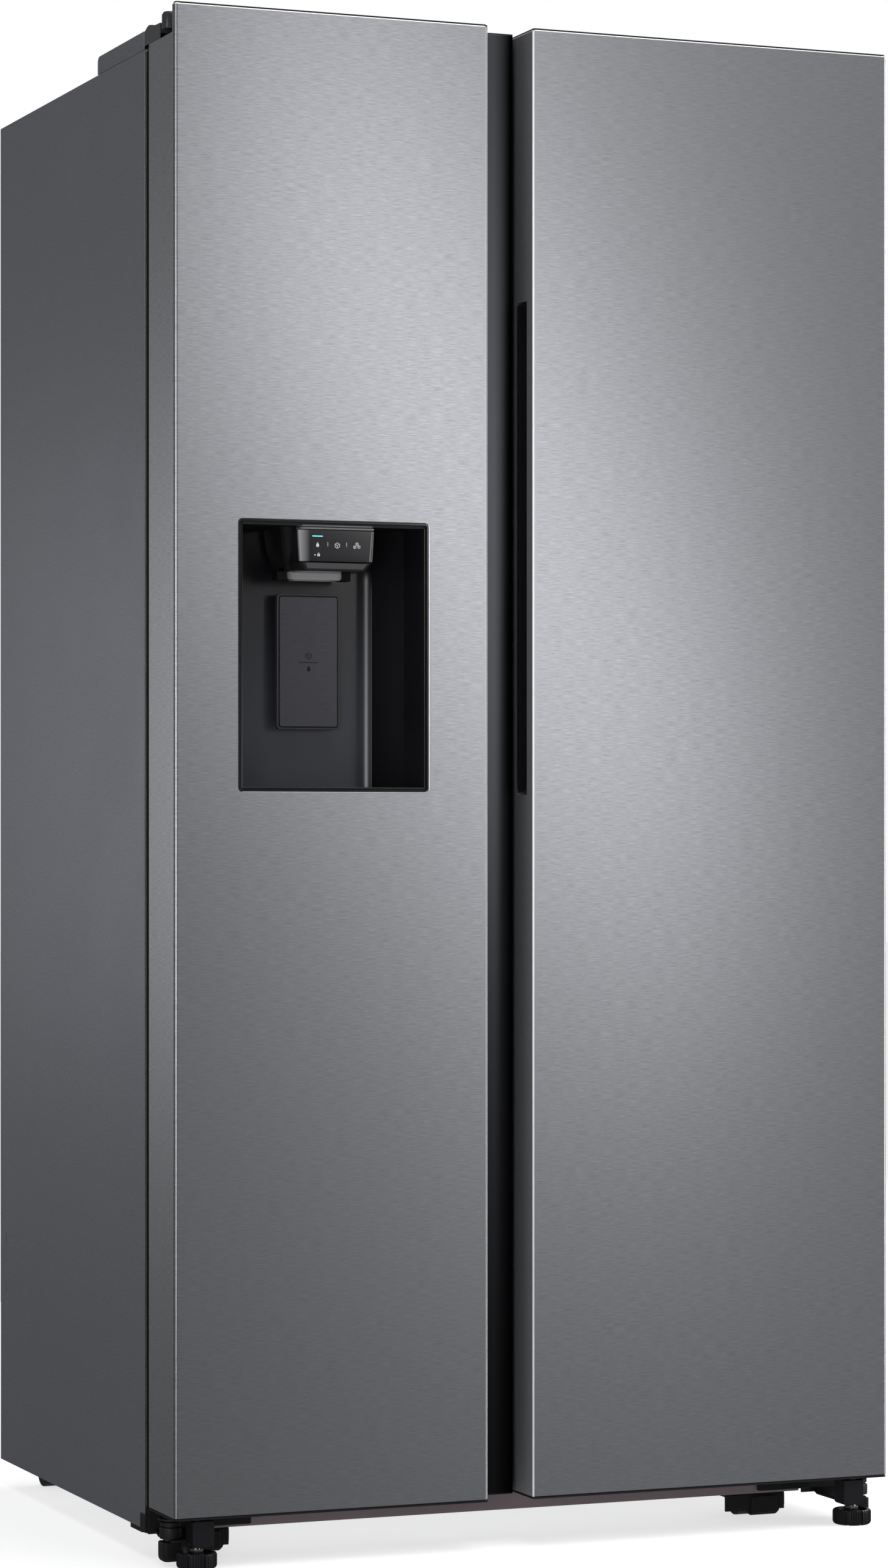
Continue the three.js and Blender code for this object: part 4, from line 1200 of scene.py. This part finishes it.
def door_bin(node, body):
    """A clear tub with round corners, leaning sides and a thick rim, and a metal band on it."""
    x, y, z = extent(node)
    wall, radius, rim, taper = 2.6, 12, 3.0, 5.0
    top = z[1]
    outside = ((taper + 3, z[0]), (taper, z[0] + 3), (1.6, top - 9), (0, top - 8), (0, top))
    inside = ((rim, top), (rim + 0.6, top - 6), (taper + wall, z[0] + 5), (taper + wall + 2, z[0] + wall))
    sections = []
    for inset, level in outside + inside:
        sections.append((rounded(x, y, max(radius - inset * 0.5, 3), inset), level))
    tub = Shape().stack("z", sections)
    place(f"{node}_tub", tub, body, "clear_plastic", replaces=(node,), smooth=40)
    place_box(
        f"{node}_band", (x[0] + 18, x[1] - 18), (y[1] - 2.2, y[1] + 1.4), (z[1] - 26, z[1] - 10),
        body, "aluminium", bevel=1.2, segments=3,
    )


def drawer(node, body):
    """A clear drawer: its tub, its thick front and its white grip."""
    refined(node, body, "clear_plastic", 2.0, 2)
    x, y, z = extent(node)
    place_box(
        f"{node}_grip", (x[0] + 56, x[1] - 56), (y[0] - 1.6, y[0] + 26), (z[1] - 4, z[1] + 1.6),
        body, "liner", bevel=1.8, segments=3,
    )
    for index, share in enumerate((0.25, 0.5, 0.75)):
        level = z[0] + (z[1] - z[0]) * share
        place_box(
            f"{node}_rib_{index}", (x[0] + 12, x[1] - 12), (y[0] - 0.9, y[0] + 1),
            (level - 1, level + 1), body, "clear_plastic", bevel=0.6,
        )


def shelf(node):
    """A glass plate held by a white front rail and side rails."""
    x, y, z = extent(node)
    plate_top = z[0] + 10
    place_box(
        f"{node}_plate", (x[0] + 3, x[1] - 3), (y[0] + 6, y[1] - 1),
        (plate_top - 5, plate_top - 0.5), "cabinet", "shelf_glass", bevel=0.8, replaces=(node,),
    )
    rail = Shape().box(x, (y[0], y[0] + 17), (z[0], z[1]))
    rail.box((x[0], x[0] + 7), (y[0] + 10, y[1]), (plate_top - 8, plate_top + 1.5))
    rail.box((x[1] - 7, x[1]), (y[0] + 10, y[1]), (plate_top - 8, plate_top + 1.5))
    place(f"{node}_rail", rail, "cabinet", "liner", bevel=1.6, segments=3)
    place_box(
        f"{node}_trim", (x[0] + 5, x[1] - 5), (y[0] - 0.8, y[0] + 1), (z[0] + 4, z[1] - 4),
        "cabinet", "aluminium", bevel=0.4,
    )


def wire_shelf(name, room, level):
    """A white wire shelf across the freezer."""
    shelf_wires = Shape()
    x = (room[0] + 6, room[1] - 6)
    for y in (-116, -4, 108, 192):
        shelf_wires.rod("x", (y, level), 3, x[0], x[1], 10)
    for i in range(15):
        at = x[0] + 12 + (x[1] - x[0] - 24) * i / 14
        shelf_wires.rod("y", (at, level + 4.6), 1.8, -118, 194, 8)
    place(name, shelf_wires, "cabinet", "liner", smooth=40)


def vent_slots(x_span, z_levels, y):
    """Cutters for a row of level slots with round ends."""
    cuts = []
    for z in z_levels:
        outline = rounded(x_span, (z, z + SLOT_HEIGHT), SLOT_HEIGHT / 2 - 0.1)
        cuts.append(Shape().prism("y", outline, y - 10, y + 20))
    return cuts


def fan_grille(x):
    """Four rings joined by six bars, in front of the evaporator's fan."""
    front, back = 198.4, 201
    grille = Shape()
    for radius in (18, 32, 46, 60):
        outer, inner = radius + 1.6, radius - 1.6
        section = ((outer, front), (outer, back), (inner, back), (inner, front))
        grille.stack("y", [(circle((x, FAN_Z), reach, 48), y) for reach, y in section], closed=True)
    for i in range(6):
        angle = math.pi * i / 6
        tip = (62 * math.cos(angle), 62 * math.sin(angle))
        ends = [(x + sign * tip[0], FAN_Z + sign * tip[1]) for sign in (-1, 1)]
        bar(grille, *ends, 2.4, front + 0.4, back - 0.2)
    place("evaporator_fan_grille", grille, "cabinet", "liner")


def build_freezer():
    """The left compartment: its lining, cold air, shelves, drawers and ice maker."""
    room_liner("freezer_liner", FREEZER_ROOM, SHELF_LEVELS["freezer"])
    x = middle(FREEZER_ROOM)
    slots = vent_slots((x - 110, x + 110), (420, 440, 460, 1080, 1100, 1120, 1560, 1580), 200)
    refined("evaporator_cover", "cabinet", "liner", 1.0, cuts=slots)
    fan_grille(x)
    refined("evaporator", "cabinet", "aluminium", 0.6)
    refined("evaporator_fan", "evaporator_fan", "black_plastic", 0.4)
    refined("freezer_shelf", "cabinet", "shelf_glass", 1.2)
    place_box(
        "freezer_shelf_rail", (FREEZER_ROOM[0] + 5, FREEZER_ROOM[1] - 5), (-123, -112), (875, 892),
        "cabinet", "liner", bevel=1.6, segments=3,
    )
    wire_shelf("freezer_wire_shelf_upper", FREEZER_ROOM, 1120)
    wire_shelf("freezer_wire_shelf_lower", FREEZER_ROOM, 640)
    refined("ice_maker", "cabinet", "grey_plastic", 1.4)
    refined("ice_bucket", "ice_bucket", "clear_plastic", 2.0)
    refined("ice_auger", "ice_auger", "aluminium", 0.7)
    drawer("freezer_drawer_upper", "freezer_drawer_upper")
    drawer("freezer_drawer_lower", "freezer_drawer_lower")
    lamp("freezer_lamp", (x - 60, x + 60), (-60, -20), LAMP_Z)


def build_fridge():
    """The right compartment: its lining, air duct, shelves, crispers and lamps."""
    room_liner("fridge_liner", FRIDGE_ROOM, SHELF_LEVELS["fridge"])
    x = middle(FRIDGE_ROOM)
    duct = Shape().prism("z", [(x - 62, 297), (x - 50, 276), (x + 50, 276), (x + 62, 297)], 600, 1660)
    slots = vent_slots((x - 34, x + 34), (690, 706, 1040, 1056, 1240, 1256, 1420, 1436, 1600), 272)
    place("fridge_duct_cover", duct, "cabinet", "liner", bevel=3, segments=3, cuts=slots)
    for word in ("lower", "middle", "upper"):
        shelf(f"fridge_shelf_{word}")
    place_box("crisper_roof", (27, 403), (-128, 282), (556, 561), "cabinet", "shelf_glass", bevel=1.0)
    drawer("crisper_upper", "crisper_upper")
    drawer("crisper_lower", "crisper_lower")
    for index, z in enumerate((1140, 1510)):
        place_box(
            f"fridge_extra_shelf_{index}", (31, 399), (-112, 268), (z + 1, z + 5), "cabinet",
            "shelf_glass", bevel=0.8,
        )
        place_box(
            f"fridge_extra_rail_{index}", (28, 402), (-122, -108), (z - 4, z + 10), "cabinet",
            "liner", bevel=1.6, segments=3,
        )
    lamp("fridge_lamp_top", (x - 90, x + 90), (-80, -30), LAMP_Z)
    for word, at in (("left", (22.6, 25.4)), ("right", (404.6, 407.4))):
        lamp(f"fridge_lamp_{word}", at, (-150, -138), (640, 1560))


def build_door_insides():
    """The linings and bins of both doors, and the cover behind the dispenser."""
    for door, cover_x in (("fridge_door", (18, 412)), ("freezer_door", (-412, -48))):
        refined(f"{door}_liner", door, "liner", 3.0, 3)
        rim = Shape()
        back = DOOR_Y[1]
        profile = ((-14, 0.4), (-10, 5), (-2, 9), (4, 9), (6, 1.5), (2, 0.4))
        rim.frame_ring("y", [(inset, back + rise) for inset, rise in profile], cover_x, ROOM_Z, 16)
        place(f"{door}_liner_rim", rim, door, "liner", smooth=50)
    for word in ("lower", "middle", "upper"):
        door_bin(f"fridge_door_bin_{word}", "fridge_door")
    for word in ("lower", "upper"):
        door_bin(f"freezer_door_bin_{word}", "freezer_door")
    boss = Shape().box(BOSS_X, (DOOR_Y[1] - 4, -168.2), BOSS_Z)
    chute = Shape().box(CHUTE_X, CHUTE_Y, (1150, 1230))
    inner_x, inner_z = [(span[0] + 1.4, span[1] - 1.4) for span in (BOSS_X, BOSS_Z)]
    inner = Shape().box(inner_x, (DOOR_Y[1] - 9, -169.8), inner_z)
    boss = to_object("boss", boss)
    round_edges(boss, 4, 3)
    place("dispenser_boss_cover", boss, "freezer_door", "liner", cuts=[inner, chute])
    lip = Shape()
    lip.frame_ring("z", ((-4, 1217), (-4, 1219.4), (0, 1219.4), (0, 1217)), CHUTE_X, CHUTE_Y, 4)
    place("ice_chute_lip", lip, "freezer_door", "grey_plastic")


# ================================================================ stage


def build_floor():
    """A pale floor that mirrors nothing onto the object."""
    look = Look("floor", 0.6)
    slow = look.noise(look.place_on((1.5, 1.5, 1.5)))
    look.tint(slow, (0.78, 0.78, 0.78), (0.8, 0.8, 0.8))
    look.set("Emission Color", (1, 1, 1, 1))
    look.set("Emission Strength", FLOOR_GLOW)
    floor = Shape().box((-FLOOR_REACH, FLOOR_REACH), (-FLOOR_REACH, FLOOR_REACH), (-20, 0))
    obj = to_object("floor", floor)
    obj.data.materials.append(look.material)
    obj.visible_glossy = False


def soft_light(name, centre, target, size, power, tilt):
    """A rectangular light that faces a target and is tilted round its own aim."""
    light = bpy.data.lights.new(name, "AREA")
    light.shape = "RECTANGLE"
    light.size, light.size_y = size
    light.energy = power
    obj = bpy.data.objects.new(name, light)
    aim = Vector(target) - Vector(centre)
    turn = aim.to_track_quat("-Z", "Y").to_matrix().to_4x4() @ Matrix.Rotation(tilt, 4, "Z")
    obj.matrix_world = Matrix.Translation(centre) @ turn
    bpy.context.scene.collection.objects.link(obj)


def tone_by_height(sky, direction):
    """The room's tone: a ramp from straight down to straight up."""
    split = sky.node("SeparateXYZ")
    sky.links.new(direction, split.inputs["Vector"])
    height = sky.node("MapRange", From_Min=-1, From_Max=1)
    sky.links.new(split.outputs["Z"], height.inputs["Value"])
    ramp = sky.node("ValToRGB")
    elements = ramp.color_ramp.elements
    for end, (position, tone) in ((0, ROOM_TONES[0]), (1, ROOM_TONES[-1])):
        elements[end].position = position
        elements[end].color = (tone, tone, tone, 1)
    for position, tone in ROOM_TONES[1:-1]:
        elements.new(position).color = (tone, tone, tone, 1)
    sky.links.new(height.outputs["Result"], ramp.inputs["Fac"])
    return ramp.outputs["Color"]


def strength_by_side(sky, direction):
    """The room's strength: full on the bright side and less on the dark side."""
    turn = sky.node("VectorMath")
    turn.operation = "DOT_PRODUCT"
    turn.inputs[1].default_value = BRIGHT_SIDE
    sky.links.new(direction, turn.inputs[0])
    low, high = SIDE_CHANGE
    darker = sky.node("MapRange", From_Min=low, From_Max=high, To_Min=DARK_SIDE_STRENGTH, To_Max=1.0)
    darker.interpolation_type = "SMOOTHSTEP"
    sky.links.new(turn.outputs["Value"], darker.inputs["Value"])
    return darker.outputs["Result"]


def build_world():
    """White behind the object, and a soft room that lights it."""
    world = bpy.data.worlds.new("studio")
    bpy.context.scene.world = world
    world.use_nodes = True
    sky = Nodes(world.node_tree)
    direction = sky.node("TexCoord").outputs["Generated"]
    room = sky.nodes["Background"]
    sky.links.new(strength_by_side(sky, direction), room.inputs["Strength"])
    sky.links.new(tone_by_height(sky, direction), room.inputs["Color"])
    paper = sky.node("Background", Color=(1, 1, 1, 1))
    mix = sky.node("MixShader")
    path = sky.node("LightPath")
    sky.links.new(path.outputs["Is Camera Ray"], mix.inputs["Fac"])
    sky.links.new(room.outputs["Background"], mix.inputs[1])
    sky.links.new(paper.outputs["Background"], mix.inputs[2])
    sky.links.new(mix.outputs["Shader"], sky.nodes["World Output"].inputs["Surface"])


def build_camera():
    """A level camera to the left of the front, with its picture shifted up."""
    data = bpy.data.cameras.new("camera")
    data.lens = CAMERA_LENS
    data.sensor_width = 36
    data.shift_y = CAMERA_SHIFT
    data.clip_end = 50
    camera = bpy.data.objects.new("camera", data)
    camera.location = CAMERA_PLACE
    camera.rotation_euler = (math.radians(90), 0, math.radians(CAMERA_TURN))
    bpy.context.scene.collection.objects.link(camera)
    bpy.context.scene.camera = camera


build_camera()
build_doors()
build_dispenser()
build_case()
build_back()
build_base()
build_freezer()
build_fridge()
build_door_insides()
build_floor()
for light in LIGHTS:
    soft_light(*light)
build_world()
bpy.context.scene.view_settings.view_transform = "Standard"
